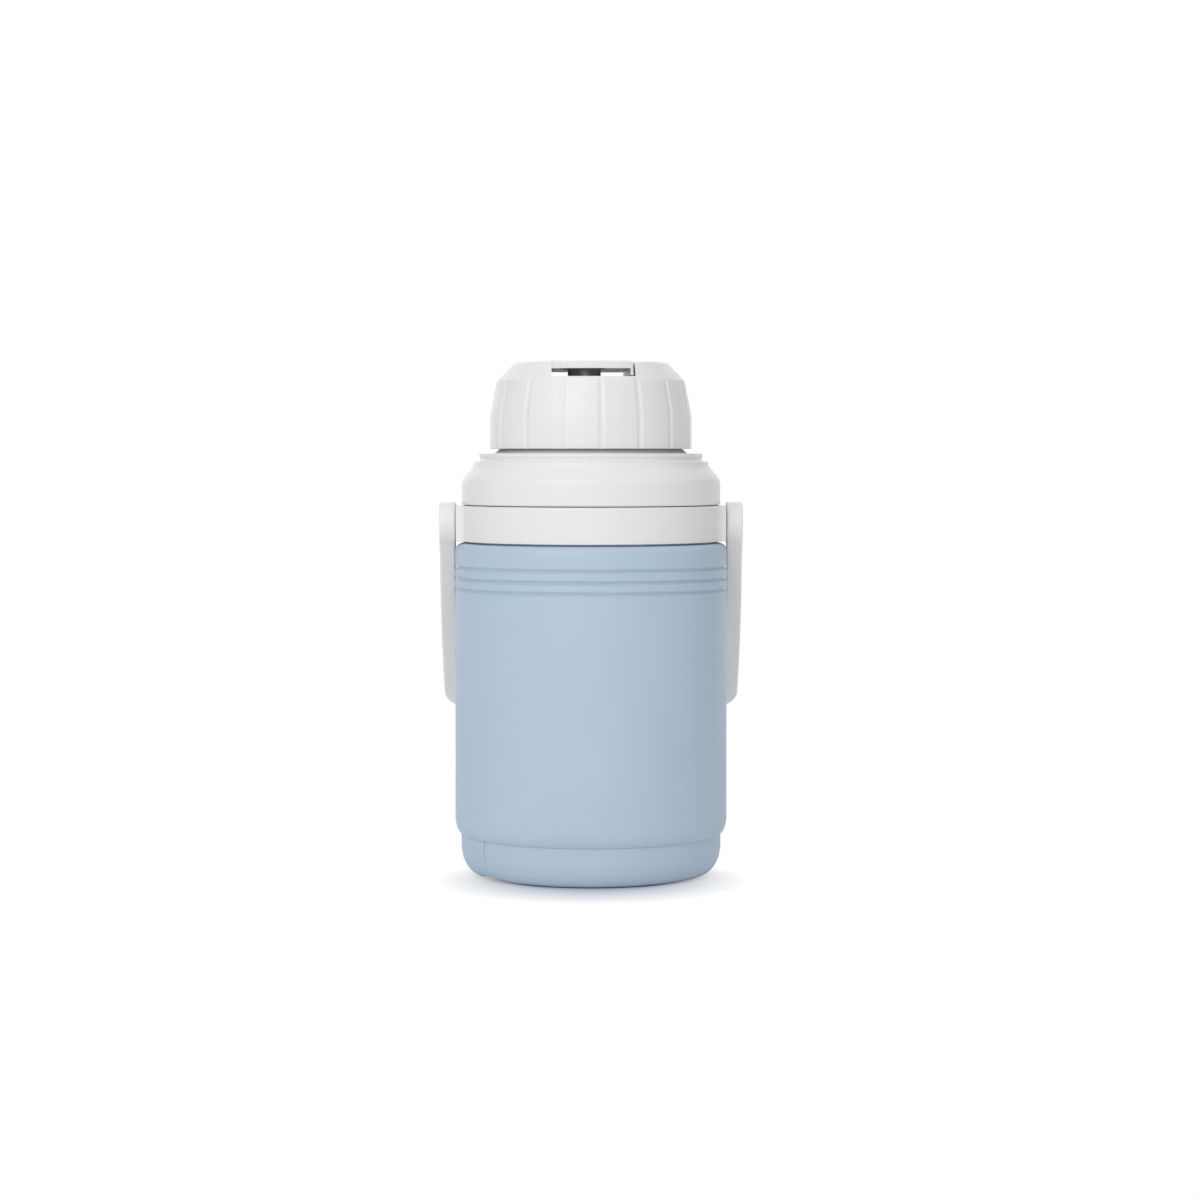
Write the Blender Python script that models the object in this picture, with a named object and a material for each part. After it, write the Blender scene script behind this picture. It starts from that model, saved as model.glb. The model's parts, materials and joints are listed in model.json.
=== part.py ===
"""Insulated water jug with a bail handle, a fluted screw cap and a flip strap over its drinking spout.

Metres, +Z up. The origin is the middle of the underside, the front is -Y and the right side is +X.
At rest the handle is folded down behind the jug, the cap is screwed tight and the strap is closed.
"""

import math

import bmesh
import bpy
from mathutils import Matrix, Vector

# Clearances
GAP = 0.0003  # between neighbouring pieces
RUNNING_GAP = 0.00005  # between a pin and the bore that turns on it

# Fineness of the round shapes
TURNED_SIDES = 36
SMALL_SIDES = 24

# Cutters
CUTTER_REACH = 0.060  # half-length of the cutters that run right through the cap
CUTTER_MARGIN = 0.005  # how far a cutter runs past what it cuts

# Body
BODY_RADIUS = 0.0672
BODY_BOTTOM = 0.0197
BODY_TOP = 0.1636
BODY_WALL = 0.0025
BODY_TOP_ROUND = 0.0042
BODY_FOOT_CENTRE = (0.0629, 0.0276)  # centre of the ellipse that rounds the lower edge, (r, z)
BODY_FOOT_ROUND = (0.0044, 0.0086)  # its half-widths
BODY_NECK_RADIUS = 0.0610
BODY_NECK_BORE = 0.0586
BODY_NECK_TOP = 0.1875
BODY_LIP_BORE = 0.0616
RING_HEIGHTS = (0.1515, 0.1460, 0.1407)
RING_DEPTH = 0.0010
RING_HALF_WIDTH = 0.0013
BODY_LIP_HEIGHTS = (0.0023, 0.0038)  # the inward lip's top above the bottom edge, at its bore and at the wall

# Base
BASE_RADIUS = 0.0643
BASE_CONTACT_RADIUS = 0.0557
BASE_CORNER_HEIGHT = 0.0140
BASE_TOP = BODY_BOTTOM - GAP
BASE_FLOOR = 0.0024
BASE_CHANNEL_DEPTH = 0.0030
BASE_CHANNEL = (0.0200, 0.0480)  # inner and outer radius at the ground
BASE_CHANNEL_SLOPE = 0.0020  # how far each side of the channel leans in
BASE_INNER_BEVEL = 0.0060
SPIGOT_RADIUS = BODY_LIP_BORE - GAP
SPIGOT_BORE = 0.0592
SPIGOT_TOP = 0.0260
NOTCH_DIRECTION_DEG = (-61.0, -40.0)  # from the front towards the right
NOTCH_HEIGHT = 0.0026
NOTCH_INNER = BASE_CONTACT_RADIUS - 0.0005
PLUG_HOLE_RADIUS = 0.0060
PLUG_HOLE_Y = 0.0340
PLUG_FLANGE_WIDTH = 0.0025
PLUG_FLANGE_THICKNESS = 0.0011

# Liner
LINER_BORE = 0.0504
LINER_WALL = 0.0020
LINER_FLOOR = 0.0180
LINER_TOP = BODY_NECK_TOP + GAP + 0.0018
LINER_CORNER = 0.0060
LINER_FLANGE_RADIUS = BODY_NECK_RADIUS - 0.0002

# Collar and handle
COLLAR_RADIUS = 0.0640
COLLAR_BORE = BODY_NECK_RADIUS + GAP
COLLAR_BOTTOM = 0.1642
COLLAR_TOP = 0.1818
BOSS_REACH = 0.0678
BOSS_HALF_WIDTH = 0.0145
BOSS_INSET = 0.0002  # below the collar's top face and above its bottom face
PIVOT_HEIGHT = 0.1728
PIVOT_PIN_RADIUS = 0.0040
PIVOT_HEAD_RADIUS = 0.0065
PIVOT_HEAD_DEPTH = 0.0018
ARM_INNER = BOSS_REACH + GAP
EYE_THICKNESS = 0.0070
ARM_THICKNESS = 0.0066  # the eye stands a little proud on both faces
ARM_WIDTH = 0.0180
ARM_BOW = 0.0015
ARM_BOW_TURN = math.pi * 0.62  # how much of a sine wave the arm's bow covers
ARM_EDGE_ROUND = 0.0018
EYE_EDGE = 0.0010
EYE_RADIUS = 0.0106
HANDLE_REACH = 0.1180
HANDLE_CORNER = 0.0075  # radius of the bend's middle line
HANDLE_FOLD_DEG = 41.0  # from straight down, towards the back

# Shoulder and neck
SHOULDER_RADIUS = 0.0639
SHOULDER_BOTTOM = 0.1822
SHOULDER_SIDE_TOP = 0.1925
SHOULDER_CURVE = (0.0609, 0.0030, 0.0108)  # middle radius, swing and height of the S-curve
SHOULDER_TOP = 0.2074
SHOULDER_LIP_RADIUS = 0.0552
SHOULDER_GROOVE = ((0.0550, 0.2034), (0.0545, 0.2048), (SHOULDER_LIP_RADIUS, 0.2060))  # under the lip, (r, z)
SHOULDER_EDGE = 0.0022
SHOULDER_LIP_EDGE = 0.0004
SHOULDER_BORE = BODY_NECK_RADIUS + GAP
SHOULDER_GASKET_THICKNESS = 0.0015
GASKET_RADII = (0.0505, 0.0544)
SHOULDER_LAND = LINER_TOP + GAP + SHOULDER_GASKET_THICKNESS + GAP
SHOULDER_LAND_RADII = (0.0502, 0.0528)
SHOULDER_FUNNEL = (0.1996, 0.2068)  # heights between which the inside narrows to the neck's bore
SHOULDER_INSIDE = ((0.0528, 0.2028), (0.0560, 0.1999))  # the roof of the hollow over the body's neck
NECK_CONE = ((0.0475, SHOULDER_TOP), (0.0457, 0.2098), (0.0448, 0.2106))
NECK_FOOT = 0.2112
NECK_EDGE = 0.0004
NECK_RADIUS = 0.0433
NECK_BORE = 0.0410
NECK_TOP = 0.2263

# Thread between the neck and the cap liner
THREAD_PITCH = 0.0050
THREAD_ROOT_HALF = 0.0014
THREAD_CREST_HALF = 0.0009
THREAD_HEIGHT = 0.0012
THREAD_SINK = 0.0004
NECK_THREAD_START = 0.2142
NECK_THREAD_TURNS = 1.5
CAP_THREAD_TURNS = 1.25
THREAD_STEPS_PER_TURN = 36

# Cap
CAP_TURN_DEG = 2.1  # how far round the strap's slot stands from straight front to back
CAP_RADIUS = 0.0497
CAP_BOTTOM = 0.2096
CAP_TOP = 0.2524
CAP_EDGE = 0.0004
CAP_SIDE_BEND = 0.2262  # height from which the side leans in
CAP_SIDE_TOP = ((0.0471, 0.2397), (0.0466, 0.2420))
CAP_CORNER = (0.0461, 0.2431)
CAP_SLOPE_TOP = (0.0381, 0.2516)
CAP_FLAT_RADIUS = 0.0361
CAP_BORE = 0.0465
CAP_CAVITY_SIDE = ((0.0448, 0.2400), (0.0440, 0.2420))
CAP_CAVITY_TOP = (0.0372, 0.2492)
CAP_FLOOR_WALL = 0.0023  # beside and below the slot
FLUTE_COUNT = 16
FLUTE_FIRST_DEG = 5.9  # from the front towards the right
FLUTE_HALF_WIDTH = 0.0020
FLUTE_DEPTH = 0.0006
CAP_FOAM_RADII = (0.0459, 0.0437)  # at its bottom and its top
CAP_LINER_RADIUS = CAP_BORE - GAP
CAP_LINER_BORE = 0.0448
CAP_LINER_BOTTOM = 0.2114
CAP_DISC_BOTTOM = 0.2282
CAP_DISC_TOP = 0.2302

# Slot, strap and spout, in the cap's own frame
SLOT_LEFT = -0.0203
SLOT_RIGHT = 0.0200
SLOT_FLOOR = 0.2444
SLOT_FLOOR_BOTTOM = 0.2421
STRAP_LEFT = SLOT_LEFT + GAP
STRAP_RIGHT = 0.0190
STRAP_PLATE_BOTTOM = 0.2499
STRAP_LIP_BOTTOM = 0.2483
STRAP_WALL = 0.0015
STRAP_HOLLOW_RADII = (0.0430, 0.0369)  # at the slot's floor and under the plate
STRAP_LEG_WIDTH = 0.0017
STRAP_LEG_BOTTOM = SLOT_FLOOR + 0.0005
HINGE_X = 0.0224
HINGE_HEIGHT = 0.2499
HINGE_PIN_RADIUS = 0.0010
HINGE_PIN_REACH = (-0.0200, 0.0240)
KNUCKLE_RADIUS = 0.0023
KNUCKLE_HALF_WIDTH = 0.0130
WEB_TOP = 0.0020  # above the hinge's axis
WEB_BOTTOM = -0.0012
WEB_SINK = 0.0006  # how far the web runs into the strap
WEB_INSET = 0.0001  # short of each end of the knuckle
POCKET_RADIUS = KNUCKLE_RADIUS + 0.0004
POCKET_EASE = 0.0009
SPOUT_X = -0.0033
SPOUT_RADIUS = 0.0082
SPOUT_BORE = 0.0052
SPOUT_TOP = 0.2495
SPOUT_LIP_RADIUS = 0.0066
SPOUT_LIP_HEIGHT = 0.0013
SPOUT_BOTTOM = 0.2269
SPOUT_STEM_RADIUS = 0.0074
SPOUT_FLANGE_RADIUS = 0.0110
SPOUT_FLANGE_BOTTOM = 0.2396
SPOUT_SEAL_WIDTH = 0.0025
SPOUT_SEAL_HEIGHTS = (0.2279, 0.2291)
PLUG_TOP_RADIUS = SPOUT_BORE - GAP
PLUG_END_RADIUS = 0.0042
PLUG_BOTTOM = 0.2446
PLUG_EDGE = 0.0006
STUB_RADIUS = 0.0020
STUB_BOTTOM = 0.2462
RING_BOSS_RADII = (0.0087, 0.0103)
RING_BOSS_BOTTOM = 0.2486
BOSS_SINK = 0.0004  # how far the boss and the stub run into the plate

# Colours (red, green, blue), roughness, metallic
FINISHES = {
    "blue_plastic": ((0.46, 0.55, 0.66), 0.45, 0.0),
    "white_plastic": ((0.80, 0.81, 0.82), 0.42, 0.0),
    "liner_plastic": ((0.86, 0.86, 0.84), 0.35, 0.0),
    "foam": ((0.85, 0.76, 0.52), 0.95, 0.0),
    "seal_rubber": ((0.62, 0.64, 0.66), 0.60, 0.0),
    "plug_rubber": ((0.45, 0.47, 0.50), 0.60, 0.0),
    "steel": ((0.62, 0.63, 0.65), 0.25, 1.0),
}


def clear_scene():
    for old in list(bpy.data.objects):
        bpy.data.objects.remove(old, do_unlink=True)


def make_materials():
    materials = {}
    for name, (colour, roughness, metallic) in FINISHES.items():
        material = bpy.data.materials.new(name)
        material.use_nodes = True
        shader = material.node_tree.nodes["Principled BSDF"]
        shader.inputs["Base Color"].default_value = (*colour, 1.0)
        shader.inputs["Roughness"].default_value = roughness
        shader.inputs["Metallic"].default_value = metallic
        materials[name] = material
    return materials


def add_object(name, points, faces, finish=None):
    """A closed mesh object. Without a finish it is a cutter, which stays out of the result."""
    mesh = bpy.data.meshes.new(name)
    mesh.from_pydata(points, [], faces)
    build = bmesh.new()
    build.from_mesh(mesh)
    bmesh.ops.recalc_face_normals(build, faces=build.faces)
    build.to_mesh(mesh)
    build.free()
    obj = bpy.data.objects.new(name, mesh)
    bpy.context.scene.collection.objects.link(obj)
    if finish is None:
        obj.hide_render = True
        obj.display_type = "WIRE"
    else:
        mesh.materials.append(MATERIALS[finish])
        mesh.shade_smooth()
        mesh.set_sharp_from_angle(angle=math.radians(30))
    return obj


def arc(centre, halves, start_deg, end_deg, steps):
    """Points of an elliptical arc in the (r, z) plane, from +r towards +z."""
    points = []
    for step in range(steps + 1):
        angle = math.radians(start_deg + (end_deg - start_deg) * step / steps)
        points.append((centre[0] + halves[0] * math.cos(angle), centre[1] + halves[1] * math.sin(angle)))
    return points


def turned(name, outline, finish=None, sides=TURNED_SIDES, axis="Z", centre=(0.0, 0.0, 0.0)):
    """A solid turned from a closed outline of (radius, height) points about an axis through the centre."""
    phase = 0.5 if sides == SMALL_SIDES else 0.0  # keeps the corners of small and large circles apart
    points = []
    rings = []
    for radius, height in outline:
        count = sides if radius > 1e-9 else 1
        rings.append(list(range(len(points), len(points) + count)))
        for side in range(count):
            angle = 2 * math.pi * (side + phase) / sides
            across, up = radius * math.cos(angle), radius * math.sin(angle)
            local = {"X": (height, across, up), "Y": (across, height, up), "Z": (across, up, height)}[axis]
            points.append(tuple(local[i] + centre[i] for i in range(3)))
    faces = []
    for first, second in zip(rings, rings[1:] + rings[:1]):
        for side in range(sides):
            after = (side + 1) % sides
            corners = [first[side % len(first)], first[after % len(first)]]
            corners += [second[after % len(second)], second[side % len(second)]]
            face = list(dict.fromkeys(corners))
            if len(face) > 2:
                faces.append(face)
    return add_object(name, points, faces, finish)


def rod(name, radius, start, end, finish=None, axis="Z", centre=(0.0, 0.0, 0.0), end_radius=None):
    """A round bar from start to end along the axis, tapering to end_radius where one is given."""
    outline = [(0.0, start), (radius, start), (radius if end_radius is None else end_radius, end), (0.0, end)]
    return turned(name, outline, finish, SMALL_SIDES, axis, centre)


def tube(name, bore, radius, start, end, finish=None, sides=TURNED_SIDES, centre=(0.0, 0.0, 0.0)):
    outline = [(bore, start), (radius, start), (radius, end), (bore, end)]
    return turned(name, outline, finish, sides, "Z", centre)


def box(name, low, high, finish=None):
    points = [(x, y, z) for x in (low[0], high[0]) for y in (low[1], high[1]) for z in (low[2], high[2])]
    faces = [(0, 1, 3, 2), (4, 6, 7, 5), (0, 4, 5, 1), (2, 3, 7, 6), (0, 2, 6, 4), (1, 5, 7, 3)]
    return add_object(name, points, faces, finish)


def prism_y(name, outline, low_y, high_y):
    """A cutter with a closed (x, z) outline, between two values of y."""
    count = len(outline)
    points = [(x, y, z) for y in (low_y, high_y) for x, z in outline]
    faces = [list(range(count)), list(range(count, 2 * count))]
    faces += [(i, (i + 1) % count, count + (i + 1) % count, count + i) for i in range(count)]
    return add_object(name, points, faces)


def combine(obj, operation, other):
    modifier = obj.modifiers.new(other.name, "BOOLEAN")
    modifier.operation = operation
    modifier.solver = "EXACT"
    modifier.object = other


def thread_ridge(name, root, crest, start, first_turn, last_turn):
    """A helical ridge that rises one pitch in each turn, sunk a little into the wall at its root."""
    inward = 1.0 if crest > root else -1.0
    sunk = root - inward * THREAD_SINK
    steps = round((last_turn - first_turn) * THREAD_STEPS_PER_TURN)
    points = []
    for step in range(steps + 1):
        turn = first_turn + (last_turn - first_turn) * step / steps
        fade = min(1.0, step / 3, (steps - step) / 3)
        top = sunk + (crest - sunk) * max(fade, 0.1)
        height = start + THREAD_PITCH * turn
        angle = 2 * math.pi * turn
        for radius, offset in (
            (sunk, -THREAD_ROOT_HALF),
            (top, -THREAD_CREST_HALF),
            (top, THREAD_CREST_HALF),
            (sunk, THREAD_ROOT_HALF),
        ):
            points.append((radius * math.cos(angle), radius * math.sin(angle), height + offset))
    faces = [(0, 1, 2, 3), tuple(4 * steps + i for i in range(4))]
    for step in range(steps):
        for i in range(4):
            near, far = 4 * step, 4 * step + 4
            faces.append((near + i, near + (i + 1) % 4, far + (i + 1) % 4, far + i))
    return add_object(name, points, faces)


# ---- Body ------------------------------------------------------------------------------------


def make_outer_shell():
    outline = [(BODY_LIP_BORE, BODY_BOTTOM)]
    start = math.degrees(math.asin((BODY_BOTTOM - BODY_FOOT_CENTRE[1]) / BODY_FOOT_ROUND[1]))
    outline += arc(BODY_FOOT_CENTRE, BODY_FOOT_ROUND, start, 0, 4)
    for height in reversed(RING_HEIGHTS):
        for offset, depth in ((-1.0, 0.0), (-0.4, 1.0), (0.4, 1.0), (1.0, 0.0)):
            outline.append((BODY_RADIUS - RING_DEPTH * depth, height + RING_HALF_WIDTH * offset))
    corner = (BODY_RADIUS - BODY_TOP_ROUND, BODY_TOP - BODY_TOP_ROUND)
    outline += arc(corner, (BODY_TOP_ROUND, BODY_TOP_ROUND), 0, 90, 4)
    outline += [(BODY_NECK_RADIUS, BODY_TOP), (BODY_NECK_RADIUS, BODY_NECK_TOP)]
    outline += [(BODY_NECK_BORE, BODY_NECK_TOP), (BODY_NECK_BORE, BODY_TOP - BODY_WALL)]
    inner_round = BODY_TOP_ROUND - BODY_WALL
    outline += arc(corner, (inner_round, inner_round), 90, 0, 2)
    lip_inner, lip_outer = BODY_LIP_HEIGHTS
    outline += [(BODY_RADIUS - BODY_WALL, BODY_BOTTOM + lip_outer), (BODY_LIP_BORE, BODY_BOTTOM + lip_inner)]
    turned("outer_shell", outline, "blue_plastic")


def make_base_cup():
    channel_top = BASE_CHANNEL_DEPTH
    inner, outer = BASE_CHANNEL
    slope = BASE_CHANNEL_SLOPE
    outline = [(0.0, 0.0), (inner, 0.0), (inner + slope, channel_top)]
    outline += [(outer - slope, channel_top), (outer, 0.0)]
    halves = (BASE_RADIUS - BASE_CONTACT_RADIUS, BASE_CORNER_HEIGHT)
    outline += arc((BASE_CONTACT_RADIUS, BASE_CORNER_HEIGHT), halves, -90, 0, 5)
    outline += [(BASE_RADIUS, BASE_TOP), (SPIGOT_RADIUS, BASE_TOP), (SPIGOT_RADIUS, SPIGOT_TOP)]
    outline += [(SPIGOT_BORE, SPIGOT_TOP), (SPIGOT_BORE, BASE_CORNER_HEIGHT)]
    floor_over_channel = BASE_CHANNEL_DEPTH + BASE_FLOOR
    bevel = BASE_INNER_BEVEL
    outline += [(SPIGOT_BORE - bevel / 2, BASE_FLOOR + bevel / 2), (SPIGOT_BORE - bevel, BASE_FLOOR)]
    outline += [(outer + 0.75 * slope, BASE_FLOOR), (outer - 0.25 * slope, floor_over_channel)]
    outline += [(inner + 0.25 * slope, floor_over_channel), (inner - 0.75 * slope, BASE_FLOOR)]
    outline += [(0.0, BASE_FLOOR)]
    base = turned("base_cup", outline, "blue_plastic")
    hole_top = floor_over_channel + CUTTER_MARGIN
    hole = rod("plug_hole_cutter", PLUG_HOLE_RADIUS, -CUTTER_MARGIN, hole_top, centre=(0.0, PLUG_HOLE_Y, 0.0))
    combine(base, "DIFFERENCE", hole)
    low, high = (math.radians(angle - 90) for angle in NOTCH_DIRECTION_DEG)
    middle, spread = (low + high) / 2, (high - low) / 2
    half = NOTCH_INNER * math.sin(spread)
    outside = BASE_RADIUS + CUTTER_MARGIN
    notch = box("notch_cutter", (NOTCH_INNER, -half, -CUTTER_MARGIN), (outside, half, NOTCH_HEIGHT))
    notch.rotation_euler.z = middle
    combine(base, "DIFFERENCE", notch)


def make_foam_fill_plug():
    flange_top = BASE_CHANNEL_DEPTH - GAP
    flange_bottom = flange_top - PLUG_FLANGE_THICKNESS
    stem = PLUG_HOLE_RADIUS - GAP
    flange = stem + PLUG_FLANGE_WIDTH
    outline = [(0.0, flange_bottom), (flange - 0.0005, flange_bottom), (flange, flange_top)]
    outline += [(stem, flange_top), (stem - 0.0004, BASE_CHANNEL_DEPTH + BASE_FLOOR)]
    outline += [(0.0, BASE_CHANNEL_DEPTH + BASE_FLOOR)]
    turned("foam_fill_plug", outline, "seal_rubber", SMALL_SIDES, "Z", (0.0, PLUG_HOLE_Y, 0.0))


def make_insulation_foam():
    """Fills the space between the shell and the liner, from the base's floor to the body's neck."""
    bottom = BASE_CHANNEL_DEPTH + BASE_FLOOR + GAP
    wide = BODY_RADIUS - BODY_WALL - GAP
    narrow = SPIGOT_BORE - GAP
    in_neck = BODY_NECK_BORE - GAP
    inside = LINER_BORE + LINER_WALL + GAP
    shoulder = BODY_TOP - BODY_WALL - GAP
    corner = BODY_TOP_ROUND - BODY_WALL
    top = BODY_NECK_TOP - GAP
    outline = [(0.0, bottom), (narrow - BASE_INNER_BEVEL / 2, bottom), (narrow, BASE_CORNER_HEIGHT + GAP)]
    outline += [(narrow, SPIGOT_TOP + GAP), (wide, SPIGOT_TOP + GAP), (wide, shoulder - corner)]
    outline += [(wide - corner, shoulder), (in_neck, shoulder), (in_neck, top), (inside, top)]
    floor = LINER_FLOOR - LINER_WALL - GAP
    outline += arc((inside - LINER_CORNER, floor + LINER_CORNER), (LINER_CORNER, LINER_CORNER), 0, -90, 2)
    outline += [(0.0, floor)]
    turned("insulation_foam", outline, "foam")


def make_inner_liner():
    radius = LINER_BORE + LINER_WALL
    corner = (radius - LINER_CORNER, LINER_FLOOR - LINER_WALL + LINER_CORNER)
    flange_bottom = BODY_NECK_TOP + GAP
    outline = [(0.0, LINER_FLOOR - LINER_WALL)]
    outline += arc(corner, (LINER_CORNER, LINER_CORNER), -90, 0, 2)
    outline += [(radius, flange_bottom), (LINER_FLANGE_RADIUS, flange_bottom)]
    outline += [(LINER_FLANGE_RADIUS, LINER_TOP), (LINER_BORE, LINER_TOP)]
    inner = LINER_CORNER - LINER_WALL
    outline += arc(corner, (inner, inner), 0, -90, 2)
    outline += [(0.0, LINER_FLOOR)]
    turned("inner_liner", outline, "liner_plastic")


def make_handle_collar():
    collar = tube("handle_collar", COLLAR_BORE, COLLAR_RADIUS, COLLAR_BOTTOM, COLLAR_TOP, "white_plastic")
    for side in (-1, 1):
        ends = sorted((side * (COLLAR_BORE - CUTTER_MARGIN), side * BOSS_REACH))
        low = (ends[0], -BOSS_HALF_WIDTH, COLLAR_BOTTOM + BOSS_INSET)
        high = (ends[1], BOSS_HALF_WIDTH, COLLAR_TOP - BOSS_INSET)
        combine(collar, "UNION", box(f"boss_{side}_cutter", low, high))
    below, above = COLLAR_BOTTOM - CUTTER_MARGIN, COLLAR_TOP + CUTTER_MARGIN
    core = tube("collar_core_cutter", COLLAR_BORE / 2, COLLAR_BORE, below, above)
    combine(collar, "DIFFERENCE", core)
    for side in (-1, 1):
        hole = rod(
            f"pin_socket_{side}_cutter",
            PIVOT_PIN_RADIUS + GAP,
            side * (COLLAR_BORE - CUTTER_MARGIN),
            side * (BOSS_REACH + CUTTER_MARGIN),
            axis="X",
            centre=(0.0, 0.0, PIVOT_HEIGHT),
        )
        combine(collar, "DIFFERENCE", hole)


def make_pivot_pins():
    bevel = 0.0004
    head_outer = ARM_INNER + EYE_THICKNESS - GAP
    for name, side in (("pivot_pin_left", -1), ("pivot_pin_right", 1)):
        head_inner = head_outer - PIVOT_HEAD_DEPTH
        start = COLLAR_BORE + GAP
        outline = [(0.0, side * start), (PIVOT_PIN_RADIUS, side * start)]
        outline += [(PIVOT_PIN_RADIUS, side * head_inner), (PIVOT_HEAD_RADIUS, side * head_inner)]
        outline += [(PIVOT_HEAD_RADIUS, side * (head_outer - bevel))]
        outline += [(PIVOT_HEAD_RADIUS - bevel, side * head_outer), (0.0, side * head_outer)]
        turned(name, outline, "white_plastic", SMALL_SIDES, "X", (0.0, 0.0, PIVOT_HEIGHT))


# ---- Handle ----------------------------------------------------------------------------------


def handle_path():
    """The middle line of the right half of the handle, as (x, z, angle of its outward normal)."""
    middle = ARM_INNER + EYE_THICKNESS / 2
    bottom = -HANDLE_REACH
    arm_steps, bend_steps, grip_steps = 6, 5, 4
    path = []
    arm_end = bottom + HANDLE_CORNER
    for step in range(arm_steps):
        share = step / arm_steps
        path.append((middle + ARM_BOW * math.sin(ARM_BOW_TURN * share), arm_end * share, 0.0))
    corner_x = middle + ARM_BOW * math.sin(ARM_BOW_TURN) - HANDLE_CORNER
    for step in range(bend_steps + 1):
        angle = -math.pi / 2 * step / bend_steps
        x = corner_x + HANDLE_CORNER * math.cos(angle)
        path.append((x, arm_end + HANDLE_CORNER * math.sin(angle), angle))
    for step in range(1, grip_steps + 1):
        path.append((corner_x * (1 - step / grip_steps), bottom, -math.pi / 2))
    return path


def strap_section():
    """Rounded cross-section of the handle: (outwards, along y) points."""
    half_thick, half_wide = ARM_THICKNESS / 2, ARM_WIDTH / 2
    round_off = ARM_EDGE_ROUND
    points = []
    for sign_out, sign_y, start in ((1, 1, 0), (-1, 1, 90), (-1, -1, 180), (1, -1, 270)):
        centre = (sign_out * (half_thick - round_off), sign_y * (half_wide - round_off))
        points += arc(centre, (round_off, round_off), start, start + 90, 2)
    return points


def make_bail_handle():
    right = handle_path()
    left = [(-x, z, math.pi - angle) for x, z, angle in reversed(right[:-1])]
    stations = right + left
    section = strap_section()
    points = []
    for x, z, angle in stations:
        for out, y in section:
            points.append((x + out * math.cos(angle), y, z + out * math.sin(angle)))
    count = len(section)
    faces = [list(range(count)), list(range(len(points) - count, len(points)))]
    for station in range(len(stations) - 1):
        for i in range(count):
            near, far = station * count, (station + 1) * count
            faces.append((near + i, near + (i + 1) % count, far + (i + 1) % count, far + i))
    handle = add_object("bail_handle", points, faces, "white_plastic")
    handle.location.z = PIVOT_HEIGHT
    handle.rotation_euler.x = math.radians(HANDLE_FOLD_DEG)
    outer = ARM_INNER + EYE_THICKNESS
    for side in (-1, 1):
        outline = [(0.0, side * ARM_INNER), (EYE_RADIUS - EYE_EDGE, side * ARM_INNER)]
        outline += [(EYE_RADIUS, side * (ARM_INNER + EYE_EDGE)), (EYE_RADIUS, side * (outer - EYE_EDGE))]
        outline += [(EYE_RADIUS - EYE_EDGE, side * outer), (0.0, side * outer)]
        eye = turned(f"eye_{side}_cutter", outline, axis="X")
        bore = rod(
            f"eye_bore_{side}_cutter",
            PIVOT_PIN_RADIUS + RUNNING_GAP,
            side * (ARM_INNER - CUTTER_MARGIN),
            side * (outer + CUTTER_MARGIN),
            axis="X",
        )
        recess = rod(
            f"eye_recess_{side}_cutter",
            PIVOT_HEAD_RADIUS + GAP,
            side * (outer - GAP - PIVOT_HEAD_DEPTH - GAP),
            side * (outer + CUTTER_MARGIN),
            axis="X",
        )
        for cutter in (eye, bore, recess):
            cutter.parent = handle
        combine(handle, "UNION", eye)
        combine(handle, "DIFFERENCE", bore)
        combine(handle, "DIFFERENCE", recess)


# ---- Shoulder and neck -----------------------------------------------------------------------


def shoulder_curve():
    """The S-curve from the shoulder's upright side in to its top flange."""
    middle, swing, height = SHOULDER_CURVE
    steps = 7
    points = []
    for step in range(steps + 1):
        share = step / steps
        points.append((middle + swing * math.cos(math.pi * share), SHOULDER_SIDE_TOP + height * share))
    return points


def make_shoulder_ring():
    edge = SHOULDER_EDGE
    land_inner, land_outer = SHOULDER_LAND_RADII
    funnel_bottom, funnel_top = SHOULDER_FUNNEL
    outline = [(SHOULDER_BORE, SHOULDER_BOTTOM)]
    outline += arc((SHOULDER_RADIUS - edge, SHOULDER_BOTTOM + edge), (edge, edge), -90, 0, 3)
    outline += shoulder_curve()
    outline += SHOULDER_GROOVE
    outline += [(SHOULDER_LIP_RADIUS, SHOULDER_TOP - SHOULDER_LIP_EDGE)]
    outline += [(SHOULDER_LIP_RADIUS - SHOULDER_LIP_EDGE, SHOULDER_TOP)]
    outline += NECK_CONE
    outline += [(NECK_RADIUS, NECK_FOOT), (NECK_RADIUS, NECK_TOP - NECK_EDGE)]
    outline += [(NECK_RADIUS - NECK_EDGE, NECK_TOP), (NECK_BORE, NECK_TOP)]
    outline += [(NECK_BORE, funnel_top), (land_inner, funnel_bottom)]
    outline += [(land_inner, SHOULDER_LAND), (land_outer, SHOULDER_LAND)]
    outline += SHOULDER_INSIDE
    outline += [(SHOULDER_BORE, SHOULDER_SIDE_TOP)]
    shoulder = turned("shoulder_ring", outline, "white_plastic")
    crest = NECK_RADIUS + THREAD_HEIGHT
    ridge = thread_ridge("neck_thread_cutter", NECK_RADIUS, crest, NECK_THREAD_START, 0.0, NECK_THREAD_TURNS)
    combine(shoulder, "UNION", ridge)


def make_shoulder_gasket():
    bottom = LINER_TOP + GAP
    bore, radius = GASKET_RADII
    tube("shoulder_gasket", bore, radius, bottom, bottom + SHOULDER_GASKET_THICKNESS, "seal_rubber")


# ---- Cap -------------------------------------------------------------------------------------


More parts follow.
